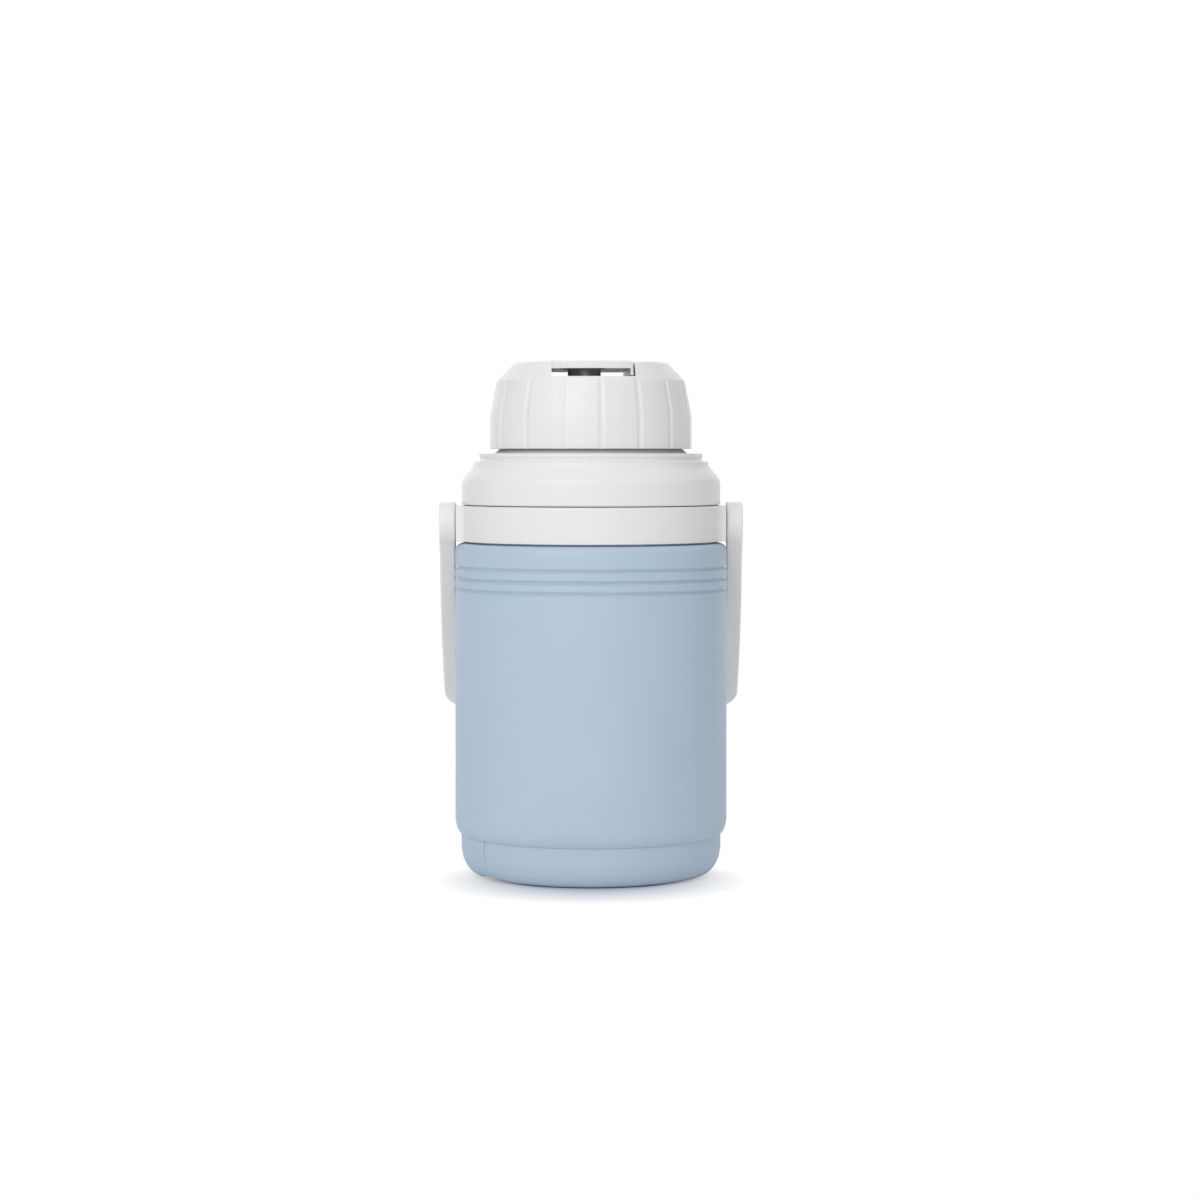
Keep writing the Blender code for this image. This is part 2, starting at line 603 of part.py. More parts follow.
def dome_outline():
    """(radius, height, flute depth) of the cap's outer surface, from its bottom edge to the top."""
    return [
        (CAP_RADIUS - CAP_EDGE, CAP_BOTTOM, FLUTE_DEPTH),
        (CAP_RADIUS, CAP_BOTTOM + CAP_EDGE, FLUTE_DEPTH),
        (CAP_RADIUS, CAP_SIDE_BEND, FLUTE_DEPTH),
        (*CAP_SIDE_TOP[0], FLUTE_DEPTH),
        (*CAP_SIDE_TOP[1], FLUTE_DEPTH),
        (*CAP_CORNER, 0.0),
        (*CAP_SLOPE_TOP, 0.0),
        (CAP_FLAT_RADIUS, CAP_TOP, 0.0),
    ]


def dome(name, rings, finish=None):
    """A closed solid with the cap's fluted outer surface."""
    pitch = 2 * math.pi / FLUTE_COUNT
    half = FLUTE_HALF_WIDTH / CAP_RADIUS
    first = math.radians(FLUTE_FIRST_DEG - 90 - CAP_TURN_DEG)
    samples = [(-half, 0.0), (0.0, 1.0), (half, 0.0)]
    samples += [(pitch * share, 0.0) for share in (0.27, 0.50, 0.73)]
    points = []
    for radius, height, depth in rings:
        for flute in range(FLUTE_COUNT):
            for offset, share in samples:
                angle = first + flute * pitch + offset
                reach = radius - depth * share
                points.append((reach * math.cos(angle), reach * math.sin(angle), height))
    count = FLUTE_COUNT * len(samples)
    faces = [list(range(count)), list(range(len(points) - count, len(points)))]
    for ring in range(len(rings) - 1):
        for i in range(count):
            near, far = ring * count, (ring + 1) * count
            faces.append((near + i, near + (i + 1) % count, far + (i + 1) % count, far + i))
    return add_object(name, points, faces, finish)


def make_cap_frame():
    """The frame that the cap's own pieces are drawn in: a few degrees round from the jug's."""
    cap_frame = bpy.data.objects.new("cap_frame", None)
    cap_frame.rotation_euler.z = math.radians(CAP_TURN_DEG)
    bpy.context.scene.collection.objects.link(cap_frame)
    return cap_frame


def make_cap_shell():
    shell = dome("cap_shell", dome_outline(), "white_plastic")
    below = CAP_BOTTOM - CUTTER_MARGIN
    cavity_outline = [(0.0, below), (CAP_BORE, below), (CAP_BORE, CAP_DISC_TOP + GAP)]
    cavity_outline += [*CAP_CAVITY_SIDE, CAP_CAVITY_TOP, (0.0, CAP_CAVITY_TOP[1])]
    cavity = turned("cap_cavity_cutter", cavity_outline)
    low = (SLOT_LEFT - CAP_FLOOR_WALL, -CUTTER_REACH, SLOT_FLOOR_BOTTOM)
    high = (HINGE_X + POCKET_RADIUS + CAP_FLOOR_WALL, CUTTER_REACH, CAP_TOP + CUTTER_MARGIN)
    kept = box("slot_surround_cutter", low, high)
    combine(cavity, "DIFFERENCE", kept)
    combine(shell, "DIFFERENCE", cavity)
    combine(shell, "DIFFERENCE", make_slot_cutter())
    combine(shell, "DIFFERENCE", make_pocket_cutter())
    hole = rod(
        "hinge_pin_hole_cutter",
        HINGE_PIN_RADIUS + RUNNING_GAP,
        HINGE_PIN_REACH[0] - GAP,
        CAP_RADIUS,
        axis="Y",
        centre=(HINGE_X, 0.0, HINGE_HEIGHT),
    )
    combine(shell, "DIFFERENCE", hole)
    bottom, top = SLOT_FLOOR_BOTTOM - CUTTER_MARGIN, SLOT_FLOOR + CUTTER_MARGIN
    spout_hole = rod("spout_hole_cutter", SPOUT_RADIUS + GAP, bottom, top, centre=(SPOUT_X, 0.0, 0.0))
    combine(shell, "DIFFERENCE", spout_hole)
    shell.parent = CAP_FRAME
    for cutter in (cavity, kept, hole, spout_hole):
        cutter.parent = CAP_FRAME


def make_slot_cutter():
    """The slot, whose right side is rounded over the hinge's axis so that the strap's edge can pass."""
    round_off = HINGE_X - SLOT_RIGHT
    above = CAP_TOP + CUTTER_MARGIN
    outline = [(SLOT_LEFT, SLOT_FLOOR), (SLOT_RIGHT, SLOT_FLOOR)]
    outline += arc((HINGE_X, HINGE_HEIGHT), (round_off, round_off), 180, 95, 5)
    outline += [(outline[-1][0], above), (SLOT_LEFT, above)]
    cutter = prism_y("slot_cutter", outline, -CUTTER_REACH, CUTTER_REACH)
    cutter.parent = CAP_FRAME
    return cutter


def make_pocket_cutter():
    """The pocket for the strap's knuckle, with its right edge eased for the web."""
    right, bottom = HINGE_X + POCKET_RADIUS, HINGE_HEIGHT - POCKET_RADIUS
    ease = POCKET_EASE
    left = SLOT_RIGHT - 0.001
    above = CAP_TOP + CUTTER_MARGIN
    outline = [(left, bottom), (right, bottom), (right, CAP_TOP - ease), (right + ease, CAP_TOP)]
    outline += [(right + ease, above), (left, above)]
    half = KNUCKLE_HALF_WIDTH + GAP
    cutter = prism_y("pocket_cutter", outline, -half, half)
    cutter.parent = CAP_FRAME
    return cutter


def make_cap_liner():
    outline = [(CAP_LINER_BORE, CAP_LINER_BOTTOM), (CAP_LINER_RADIUS, CAP_LINER_BOTTOM)]
    outline += [(CAP_LINER_RADIUS, CAP_DISC_TOP), (0.0, CAP_DISC_TOP), (0.0, CAP_DISC_BOTTOM)]
    outline += [(CAP_LINER_BORE, CAP_DISC_BOTTOM)]
    liner = turned("cap_liner", outline, "liner_plastic")
    crest = CAP_LINER_BORE - THREAD_HEIGHT
    start = NECK_THREAD_START - THREAD_PITCH / 2
    first = NECK_THREAD_TURNS - CAP_THREAD_TURNS
    ridge = thread_ridge("cap_thread_cutter", CAP_LINER_BORE, crest, start, first, NECK_THREAD_TURNS)
    combine(liner, "UNION", ridge)
    centre = (SPOUT_X, 0.0, 0.0)
    below, above = CAP_DISC_BOTTOM - CUTTER_MARGIN / 2, CAP_DISC_TOP + CUTTER_MARGIN / 2
    hole = rod("spout_stem_hole_cutter", SPOUT_STEM_RADIUS + GAP, below, above, centre=centre)
    seat_radius = SPOUT_STEM_RADIUS + SPOUT_SEAL_WIDTH + GAP
    seat = rod("spout_seal_seat_cutter", seat_radius, below, SPOUT_SEAL_HEIGHTS[1] + GAP, centre=centre)
    for cutter in (hole, seat):
        cutter.parent = CAP_FRAME
        combine(liner, "DIFFERENCE", cutter)


def make_cap_foam():
    bottom = CAP_DISC_TOP + GAP
    top = SLOT_FLOOR_BOTTOM - GAP
    wide, narrow = CAP_FOAM_RADII
    foam = turned("cap_foam", [(0.0, bottom), (wide, bottom), (narrow, top), (0.0, top)], "foam")
    centre = (SPOUT_X, 0.0, 0.0)
    above = top + CUTTER_MARGIN
    stem = rod("foam_stem_cutter", SPOUT_STEM_RADIUS + GAP, bottom - CUTTER_MARGIN, above, centre=centre)
    flange_radius, flange_bottom = SPOUT_FLANGE_RADIUS + GAP, SPOUT_FLANGE_BOTTOM - GAP
    flange = rod("foam_flange_cutter", flange_radius, flange_bottom, above, centre=centre)
    foam.parent = CAP_FRAME
    for cutter in (stem, flange):
        cutter.parent = CAP_FRAME
        combine(foam, "DIFFERENCE", cutter)


def make_cap_gasket():
    tube(
        "cap_gasket",
        NECK_BORE + GAP,
        CAP_LINER_BORE - GAP,
        NECK_TOP + GAP,
        CAP_DISC_BOTTOM - GAP,
        "seal_rubber",
    )


def make_drink_spout():
    flange_top = SLOT_FLOOR_BOTTOM - GAP
    outline = [(SPOUT_BORE, SPOUT_BOTTOM), (SPOUT_STEM_RADIUS, SPOUT_BOTTOM)]
    outline += [(SPOUT_STEM_RADIUS, SPOUT_FLANGE_BOTTOM), (SPOUT_FLANGE_RADIUS, SPOUT_FLANGE_BOTTOM)]
    outline += [(SPOUT_FLANGE_RADIUS, flange_top), (SPOUT_RADIUS, flange_top)]
    outline += [(SPOUT_RADIUS, SPOUT_TOP - SPOUT_LIP_HEIGHT), (SPOUT_LIP_RADIUS, SPOUT_TOP)]
    outline += [(SPOUT_BORE, SPOUT_TOP)]
    spout = turned("drink_spout", outline, "white_plastic", SMALL_SIDES, "Z", (SPOUT_X, 0.0, 0.0))
    spout.parent = CAP_FRAME


def make_spout_seal():
    bore, radius = SPOUT_STEM_RADIUS + GAP, SPOUT_STEM_RADIUS + SPOUT_SEAL_WIDTH
    bottom, top = SPOUT_SEAL_HEIGHTS
    seal = tube("spout_seal", bore, radius, bottom, top, "seal_rubber", SMALL_SIDES, (SPOUT_X, 0.0, 0.0))
    seal.parent = CAP_FRAME


# ---- Strap -----------------------------------------------------------------------------------


def make_flip_strap():
    """The bridge over the slot: cut from the cap's dome, hollow below, with its hinge knuckle at the right.

    It is drawn around its hinge's axis, where its origin is.
    """
    rings = [ring for ring in dome_outline() if ring[2] == 0.0]
    strap = dome("flip_strap", rings, "white_plastic")
    above = CAP_TOP + CUTTER_MARGIN
    low, high = (STRAP_LEFT, -CUTTER_REACH, STRAP_LEG_BOTTOM), (STRAP_RIGHT, CUTTER_REACH, above)
    slab = box("strap_slab_cutter", low, high)
    combine(strap, "INTERSECT", slab)
    leg_left = STRAP_RIGHT - STRAP_LEG_WIDTH
    low = (STRAP_LEFT - CUTTER_MARGIN, -CUTTER_REACH, STRAP_LEG_BOTTOM - CUTTER_MARGIN)
    window = box("strap_window_cutter", low, (leg_left, CUTTER_REACH, STRAP_LIP_BOTTOM))
    combine(strap, "DIFFERENCE", window)
    wide, narrow = STRAP_HOLLOW_RADII
    bottom = STRAP_LEG_BOTTOM - CUTTER_MARGIN
    hollow_outline = [(0.0, bottom), (wide, bottom), (narrow, STRAP_PLATE_BOTTOM), (0.0, STRAP_PLATE_BOTTOM)]
    hollow = turned("strap_hollow_cutter", hollow_outline)
    low = (STRAP_LEFT + STRAP_WALL, -CUTTER_REACH, bottom - CUTTER_MARGIN)
    hollow_limits = box("strap_hollow_limits_cutter", low, (leg_left, CUTTER_REACH, above))
    combine(hollow, "INTERSECT", hollow_limits)
    combine(strap, "DIFFERENCE", hollow)
    centre = (HINGE_X, 0.0, HINGE_HEIGHT)
    half = KNUCKLE_HALF_WIDTH
    knuckle = rod("knuckle_cutter", KNUCKLE_RADIUS, -half, half, axis="Y", centre=centre)
    web = box(
        "web_cutter",
        (STRAP_RIGHT - WEB_SINK, WEB_INSET - half, HINGE_HEIGHT + WEB_BOTTOM),
        (HINGE_X, half - WEB_INSET, HINGE_HEIGHT + WEB_TOP),
    )
    combine(strap, "UNION", knuckle)
    combine(strap, "UNION", web)
    bore_radius = HINGE_PIN_RADIUS + RUNNING_GAP
    bore_reach = half + CUTTER_MARGIN
    bore = rod("knuckle_bore_cutter", bore_radius, -bore_reach, bore_reach, axis="Y", centre=centre)
    combine(strap, "DIFFERENCE", bore)
    inner, outer = RING_BOSS_RADII
    spout_centre = (SPOUT_X, 0.0, 0.0)
    into_plate = STRAP_PLATE_BOTTOM + BOSS_SINK
    boss_span = (RING_BOSS_BOTTOM, into_plate)
    boss = tube("ring_boss_cutter", inner, outer, *boss_span, sides=SMALL_SIDES, centre=spout_centre)
    stub = rod("plug_stub_cutter", STUB_RADIUS, STUB_BOTTOM, into_plate, centre=spout_centre)
    combine(strap, "UNION", boss)
    combine(strap, "UNION", stub)
    for piece in (slab, window, hollow, hollow_limits, knuckle, web, bore, boss, stub):
        piece.parent = STRAP_HINGE
        piece.location = -HINGE_PLACE
    strap.data.transform(Matrix.Translation(-HINGE_PLACE))
    strap.parent = STRAP_HINGE


def make_spout_plug():
    top = STRAP_PLATE_BOTTOM - GAP
    socket_bottom = STUB_BOTTOM - GAP
    edge = PLUG_EDGE
    outline = [(0.0, PLUG_BOTTOM), (PLUG_END_RADIUS - edge, PLUG_BOTTOM)]
    outline += [(PLUG_END_RADIUS, PLUG_BOTTOM + edge)]
    outline += [(PLUG_TOP_RADIUS, top), (STUB_RADIUS + GAP, top), (STUB_RADIUS + GAP, socket_bottom)]
    outline += [(0.0, socket_bottom)]
    plug = turned("spout_plug", outline, "plug_rubber", SMALL_SIDES, "Z", (SPOUT_X, 0.0, 0.0))
    plug.data.transform(Matrix.Translation(-HINGE_PLACE))
    plug.parent = STRAP_HINGE


def make_strap_hinge_pin():
    pin = rod(
        "strap_hinge_pin",
        HINGE_PIN_RADIUS,
        HINGE_PIN_REACH[0],
        HINGE_PIN_REACH[1],
        "steel",
        axis="Y",
        centre=(HINGE_X, 0.0, HINGE_HEIGHT),
    )
    pin.parent = CAP_FRAME


clear_scene()
MATERIALS = make_materials()
CAP_FRAME = make_cap_frame()
HINGE_PLACE = Vector((HINGE_X, 0.0, HINGE_HEIGHT))
STRAP_HINGE = bpy.data.objects.new("strap_hinge", None)
STRAP_HINGE.location = HINGE_PLACE
STRAP_HINGE.parent = CAP_FRAME
bpy.context.scene.collection.objects.link(STRAP_HINGE)

make_outer_shell()
make_base_cup()
make_foam_fill_plug()
make_insulation_foam()
make_inner_liner()
make_handle_collar()
make_pivot_pins()
make_bail_handle()
make_shoulder_ring()
make_shoulder_gasket()
make_cap_shell()
make_cap_liner()
make_cap_foam()
make_cap_gasket()
make_drink_spout()
make_spout_seal()
make_flip_strap()
make_spout_plug()
make_strap_hinge_pin()
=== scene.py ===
"""The looks of an insulated water jug with a bail handle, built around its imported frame.

Metres, +Z up; the front is -Y and the right side is +X. Places and main sizes come from the frame.
The rest are named values. The cap's own pieces are drawn in its frame, turned a few degrees round.
"""

import json
import math

import bmesh
import bpy
from mathutils import Matrix, Vector


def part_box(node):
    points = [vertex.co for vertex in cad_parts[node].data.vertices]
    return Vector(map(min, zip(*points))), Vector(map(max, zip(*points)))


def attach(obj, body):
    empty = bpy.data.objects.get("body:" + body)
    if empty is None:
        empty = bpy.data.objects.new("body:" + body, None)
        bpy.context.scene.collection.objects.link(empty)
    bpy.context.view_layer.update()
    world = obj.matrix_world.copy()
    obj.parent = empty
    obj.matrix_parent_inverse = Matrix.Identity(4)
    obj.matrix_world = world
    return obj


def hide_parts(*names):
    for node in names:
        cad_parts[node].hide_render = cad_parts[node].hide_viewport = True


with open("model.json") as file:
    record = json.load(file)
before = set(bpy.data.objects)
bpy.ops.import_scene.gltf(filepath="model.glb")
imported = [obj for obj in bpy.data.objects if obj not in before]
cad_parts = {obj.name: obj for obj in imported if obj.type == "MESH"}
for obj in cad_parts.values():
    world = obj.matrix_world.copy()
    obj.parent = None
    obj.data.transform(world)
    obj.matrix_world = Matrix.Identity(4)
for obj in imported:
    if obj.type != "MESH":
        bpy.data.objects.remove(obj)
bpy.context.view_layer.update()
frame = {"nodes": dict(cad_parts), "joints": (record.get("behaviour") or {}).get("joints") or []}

GAP = 0.0003  # between neighbouring pieces
RUNNING_GAP = 0.00005  # between a pin and its bore

# Fineness
ROUND_STEPS = 240  # around the large turned pieces
SMALL_STEPS = 96  # around pins, the spout and other small ones
ARC_STEP = math.radians(10)  # along a rounded edge


# ---- Sizes read from the frame ----


def joint(name):
    return next(j for j in frame["joints"] if j["name"] == name)


def local_box(node, turn):
    """Lowest and highest corner of a node in a frame turned about Z."""
    back = Matrix.Rotation(-turn, 3, "Z")
    points = [back @ vertex.co for vertex in frame["nodes"][node].data.vertices]
    low = Vector([min(point[i] for point in points) for i in range(3)])
    high = Vector([max(point[i] for point in points) for i in range(3)])
    return low, high


def radius_of(node):
    """The node's greatest distance from the jug's own axis."""
    return max(vertex.co.xy.length for vertex in frame["nodes"][node].data.vertices)


SWING_PLACE = Vector(joint("handle_swing")["pos_m"])
FLIP_PLACE = Vector(joint("strap_flip")["pos_m"])
CAP_TURN = math.atan2(FLIP_PLACE.y, FLIP_PLACE.x)

BODY_RADIUS = radius_of("outer_shell") - 0.0001
BODY_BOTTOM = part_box("outer_shell")[0].z
BODY_NECK_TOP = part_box("outer_shell")[1].z
BASE_RADIUS = radius_of("base_cup")
SPIGOT_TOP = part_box("base_cup")[1].z
COLLAR_LOW, COLLAR_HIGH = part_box("handle_collar")
COLLAR_RADIUS = COLLAR_HIGH.y
BODY_TOP = COLLAR_LOW.z - 3 * GAP
SHOULDER_RADIUS = radius_of("shoulder_ring")
SHOULDER_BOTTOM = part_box("shoulder_ring")[0].z
NECK_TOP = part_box("shoulder_ring")[1].z
HANDLE_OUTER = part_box("pivot_pin_right")[1].x
CAP_RADIUS = radius_of("cap_shell")
CAP_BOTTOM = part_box("cap_shell")[0].z
CAP_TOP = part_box("cap_shell")[1].z
CAP_DISC_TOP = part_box("cap_liner")[1].z
PLUG_LOW, PLUG_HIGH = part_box("foam_fill_plug")
STRAP_LOW, STRAP_HIGH = local_box("flip_strap", CAP_TURN)
SPOUT_LOW, SPOUT_HIGH = local_box("drink_spout", CAP_TURN)
HINGE_PIN_LOW, HINGE_PIN_HIGH = local_box("strap_hinge_pin", CAP_TURN)
STOPPER_LOW, STOPPER_HIGH = local_box("spout_plug", CAP_TURN)

# ---- Shape values ----

# Body
BODY_WALL = 0.0025
BODY_TOP_ROUND = 0.0042
FOOT_CENTRE = (BODY_RADIUS - 0.0043, BODY_BOTTOM + 0.0079)
FOOT_HALVES = (0.0044, 0.0086)
GROOVE_HEIGHTS = [round(BODY_TOP - drop, 6) for drop in (0.0118, 0.0173, 0.0226)]
GROOVE_HALF_WIDTH = 0.0013
GROOVE_DEPTH = 0.0010
GROOVE_SQUARENESS = 0.8  # below 1 the channel's floor is broader than a cosine's
RIDGE_CROWN = 0.00022
BODY_NECK = (0.0586, 0.0610)  # bore and outer radius
BODY_LIP_BORE = 0.0616

# Base
BASE_CORNER = (0.0086, 0.0140)  # half-widths of the ellipse that rounds the lower corner
BASE_WALL = 0.0024
CHANNEL = (0.0200, 0.0480, 0.0030)  # inner radius, outer radius and depth of the underside's channel
SPIGOT = (0.0592, BODY_LIP_BORE - GAP)
NOTCH_DIRECTION = math.radians(-51.0)  # of its highest point, from the front towards the right
NOTCH_SPANS = (math.radians(19.0), math.radians(11.5))  # to its left and its right end
NOTCH_HEIGHT = 0.0022
NOTCH_INNER = 0.0506  # radius that the notch reaches in to
NOTCH_BLEND = 0.0008  # distance inside that radius over which it fades in
NOTCH_FULLNESS = 0.7  # power that rounds the long rise
PARTING_DIRECTION = math.radians(-53.5)
PARTING_HALF_WIDTH = 0.00045
PARTING_DEPTH = 0.0009
PARTING_BOTTOM = 0.001
BASE_SEAM = (0.00008, 0.0001)  # gap below the body's lip, and the rounding of the edge beside it
FILL_HOLE_RADIUS = 0.0060

# Collar and handle
COLLAR_BORE = BODY_NECK[1] + GAP
BOSS_HALF_WIDTH = 0.0145
COLLAR_EDGES = (0.0003, 0.0008)  # at its bottom and its top
BOSS_FILLET = 0.0042
BOSS_CORNER = 0.0008
PIN_RADIUS = 0.0040
PIN_HEAD_RADIUS = 0.0065
PIN_HEAD_DEPTH = 0.0018
EYE_THICKNESS = 0.0080
ARM_THICKNESS = 0.0076
EYE_RADIUS = 0.0108
BOSS_GAP = 0.0006  # between the boss and the arm
PAD_RADIUS = 0.0090  # of the round pad on the boss that stops just short of the eye
ARM_HALF_WIDTH = 0.0090
ARM_BOW = 0.0015  # outwards, greatest a little above the corner
ARM_BOW_TURN = 0.62 * math.pi  # part of the sine that the bow follows
ARM_EDGE = 0.0008
HANDLE_REACH = 0.1180
HANDLE_CORNER = 0.0075
HANDLE_FOLD = math.radians(41.0)
EYE_INNER = HANDLE_OUTER - EYE_THICKNESS

# Shoulder
SHOULDER_TOP = SHOULDER_BOTTOM + 0.0252
SHOULDER_SIDE_TOP = SHOULDER_BOTTOM + 0.0103
SHOULDER_CURVE = (0.0609, 0.0030, 0.0108)  # middle radius, swing to each side, height of the S
SHOULDER_CORNER = 0.0022
SHOULDER_LIP_RADIUS = 0.0552
SHOULDER_GROOVE_RADIUS = 0.0545
GASKET_SEAT = (0.0502, 0.0528, SHOULDER_TOP - 0.0173)  # inner and outer radius, and height
NECK_RADIUS = 0.0433
NECK_BORE = 0.0410
THREAD_PITCH = 0.0050
THREAD_HEIGHT = 0.0012
THREAD_START = NECK_TOP - 0.0121
THREAD_TURNS = 1.5

# Cap
CAP_BORE = 0.0465
CAP_EDGE = 0.0006
CAP_BEND = CAP_TOP - 0.0262  # height from which the side leans in
CAP_LEAN_TOP = (0.0466, CAP_TOP - 0.0104)
CAP_LEAN_EASE = 0.003
CAP_SIDE_TOP = CAP_TOP - 0.0119
CAP_CORNER = (0.0462, CAP_TOP - 0.0093)
CAP_SLOPE_TOP = (0.0380, CAP_TOP - 0.0007)
CAP_FLAT_RADIUS = 0.0345
CAP_CEILING = CAP_TOP - 0.0024
CAVITY_SIDE = ((0.0448, CAP_TOP - 0.0124), (0.0440, CAP_TOP - 0.0104))
CAVITY_TOP_RADIUS = 0.0372
SLOT_WALL = 0.0023  # left beside and below the slot
CUT_REACH = 0.060  # of the cap's and the strap's cutters, to the front and the back
CUT_TOP = CAP_TOP + 0.005
FLUTE_COUNT = 16
FLUTE_FIRST = math.radians(5.9)
FLUTE_HALF_WIDTH = 0.0020
FLUTE_DEPTH = 0.00055
HINGE_X = FLIP_PLACE.xy.length
HINGE_HEIGHT = FLIP_PLACE.z
HINGE_PLACE = (HINGE_X, 0, HINGE_HEIGHT)
HINGE_PIN_RADIUS = (HINGE_PIN_HIGH.z - HINGE_PIN_LOW.z) / 2
SLOT_LEFT = STRAP_LOW.x - GAP
STRAP_END_GAP = 0.00006
SLOT_RIGHT = HINGE_X - 0.0024
SLOT_FLOOR = STRAP_LOW.z - 0.0005
KNUCKLE_RADIUS = STRAP_HIGH.x - HINGE_X
KNUCKLE_HALF_WIDTH = 0.0130
POCKET_RADIUS = KNUCKLE_RADIUS + 0.0006
POCKET_EASE = 0.0012
HINGE_STRIP_RIGHT = HINGE_X + 0.0022  # right edge of the shallow strip beside the strap
HINGE_STRIP_DEPTH = 0.00025

# Strap and spout
STRAP_RIGHT = HINGE_X - 0.0034
STRAP_LIP_BOTTOM = CAP_TOP - 0.0041
STRAP_PLATE_BOTTOM = CAP_TOP - 0.0025
STRAP_WALL = 0.0012
STRAP_END_WALL = 0.0015
STRAP_LEG_WIDTH = 0.0013
WEB_HEIGHTS = (-0.0012, 0.0022)  # from the hinge's axis
STOPPER_RING = (0.0087, 0.0103, STRAP_PLATE_BOTTOM - 0.0013)  # inner and outer radius, and bottom
STOPPER_STUB_RADIUS = 0.0020
SPOUT_X = (SPOUT_LOW.x + SPOUT_HIGH.x) / 2
SPOUT_RADIUS = 0.0082
SPOUT_BORE = 0.0052
SPOUT_STEM_RADIUS = 0.0074
SPOUT_LIP = (0.0066, 0.0013)  # outer radius and height of the tapered rim


# ---- Mesh helpers ----


def evenly(start, end, steps):
    """Evenly spaced values, both ends included."""
    return [start + (end - start) * step / steps for step in range(steps + 1)]


def across_from(angle, direction):
    """Signed angle from a direction, given from the front towards the right, to an angle about Z."""
    return (angle - (direction - math.pi / 2) + math.pi) % (2 * math.pi) - math.pi


def add_mesh(name, points, faces, look=None):
    """A mesh object whose faces point outwards. One without a look is a tool for a Boolean."""
    mesh = bpy.data.meshes.new(name)
    mesh.from_pydata(points, [], faces)
    build = bmesh.new()
    build.from_mesh(mesh)
    bmesh.ops.recalc_face_normals(build, faces=build.faces)
    build.to_mesh(mesh)
    build.free()
    piece = bpy.data.objects.new(name, mesh)
    bpy.context.scene.collection.objects.link(piece)
    if look:
        mesh.materials.append(LOOKS[look])
    return piece


def arc(centre, halves, start, end, steps=0):
    """Points of an elliptical arc in the (r, z) plane, angles in degrees from +r towards +z."""
    steps = steps or max(2, math.ceil(math.radians(abs(end - start)) / ARC_STEP))
    angles = [math.radians(angle) for angle in evenly(start, end, steps)]
    return [(centre[0] + halves[0] * math.cos(a), centre[1] + halves[1] * math.sin(a)) for a in angles]


def rounded(*corners):
    """A closed outline through (r, z) corners. A third value rounds the corner with an arc of that radius."""
    outline = []
    for i, corner in enumerate(corners):
        here = Vector(corner[:2])
        if len(corner) < 3:
            outline.append(tuple(here))
            continue
        before = Vector(corners[i - 1][:2]) - here
        after = Vector(corners[(i + 1) % len(corners)][:2]) - here
        half = before.angle(after) / 2
        setback = min(corner[2] / math.tan(half), 0.49 * before.length, 0.49 * after.length)
        before.normalize()
        after.normalize()
        radius = setback * math.tan(half)
        centre = here + (before + after).normalized() * (radius / math.sin(half))
        start = here + before * setback - centre
        sweep = math.pi - 2 * half
        if before.cross(after) > 0:
            sweep = -sweep
        steps = max(2, math.ceil(abs(sweep) / ARC_STEP))
        for step in range(steps + 1):
            outline.append(tuple(centre + Matrix.Rotation(sweep * step / steps, 2) @ start))
    return outline


def add_loop(points, more):
    """Adds points to a list and returns their numbers."""
    points += more
    return list(range(len(points) - len(more), len(points)))


def swept_grid(loops, wrap_loops):
    """Faces between neighbouring loops, each a list of point numbers. A loop of one point is a pole."""
    faces = []
    following = loops[1:] + loops[:1] if wrap_loops else loops[1:]
    for first, second in zip(loops, following):
        count = max(len(first), len(second))
        for i in range(count):
            j = (i + 1) % count
            corners = [first[i % len(first)], first[j % len(first)]]
            corners += [second[j % len(second)], second[i % len(second)]]
            face = list(dict.fromkeys(corners))
            if len(face) > 2:
                faces.append(face)
    return faces


def turned(name, outline, look=None, steps=ROUND_STEPS, axis="Z", centre=(0, 0, 0), shape=None, angles=None):
    """A solid turned from a closed (radius, height) outline. shape(angle, radius, height) may move points."""
    angles = angles or [2 * math.pi * (step + 0.5) / steps for step in range(steps)]
    points = []
    loops = []
    for radius, height in outline:
        ring = []
        for angle in angles[:1] if radius < 1e-7 else angles:
            r, h = shape(angle, radius, height) if shape else (radius, height)
            across, up = r * math.cos(angle), r * math.sin(angle)
            local = {"X": (h, across, up), "Y": (across, h, up), "Z": (across, up, h)}[axis]
            ring.append(Vector(local) + Vector(centre))
        loops.append(add_loop(points, ring))
    return add_mesh(name, points, swept_grid(loops, True), look)


def rod(name, radius, start, end, axis="Z", centre=(0, 0, 0), look=None, steps=SMALL_STEPS):
    outline = [(0.0, start), (radius, start), (radius, end), (0.0, end)]
    return turned(name, outline, look, steps, axis, centre)


def box(name, low, high):
    points = [(x, y, z) for x in (low[0], high[0]) for y in (low[1], high[1]) for z in (low[2], high[2])]
    faces = [(0, 1, 3, 2), (4, 6, 7, 5), (0, 4, 5, 1), (2, 3, 7, 6), (0, 2, 6, 4), (1, 5, 7, 3)]
    return add_mesh(name, points, faces)


def prism_y(name, outline, low_y, high_y):
    count = len(outline)
    points = [(x, y, z) for y in (low_y, high_y) for x, z in outline]
    faces = [list(range(count)), list(range(count, 2 * count))]
    faces += [(i, (i + 1) % count, count + (i + 1) % count, count + i) for i in range(count)]
    return add_mesh(name, points, faces)


def apply_modifiers(piece):
    graph = bpy.context.evaluated_depsgraph_get()
    piece.data = bpy.data.meshes.new_from_object(piece.evaluated_get(graph))
    piece.modifiers.clear()


def combine(piece, operation, *tools):
    """Applies exact Booleans, then removes their tools."""
    for tool in tools:
        modifier = piece.modifiers.new(tool.name, "BOOLEAN")
        modifier.operation = operation
        modifier.solver = "EXACT"
        modifier.object = tool
        apply_modifiers(piece)
        bpy.data.objects.remove(tool)


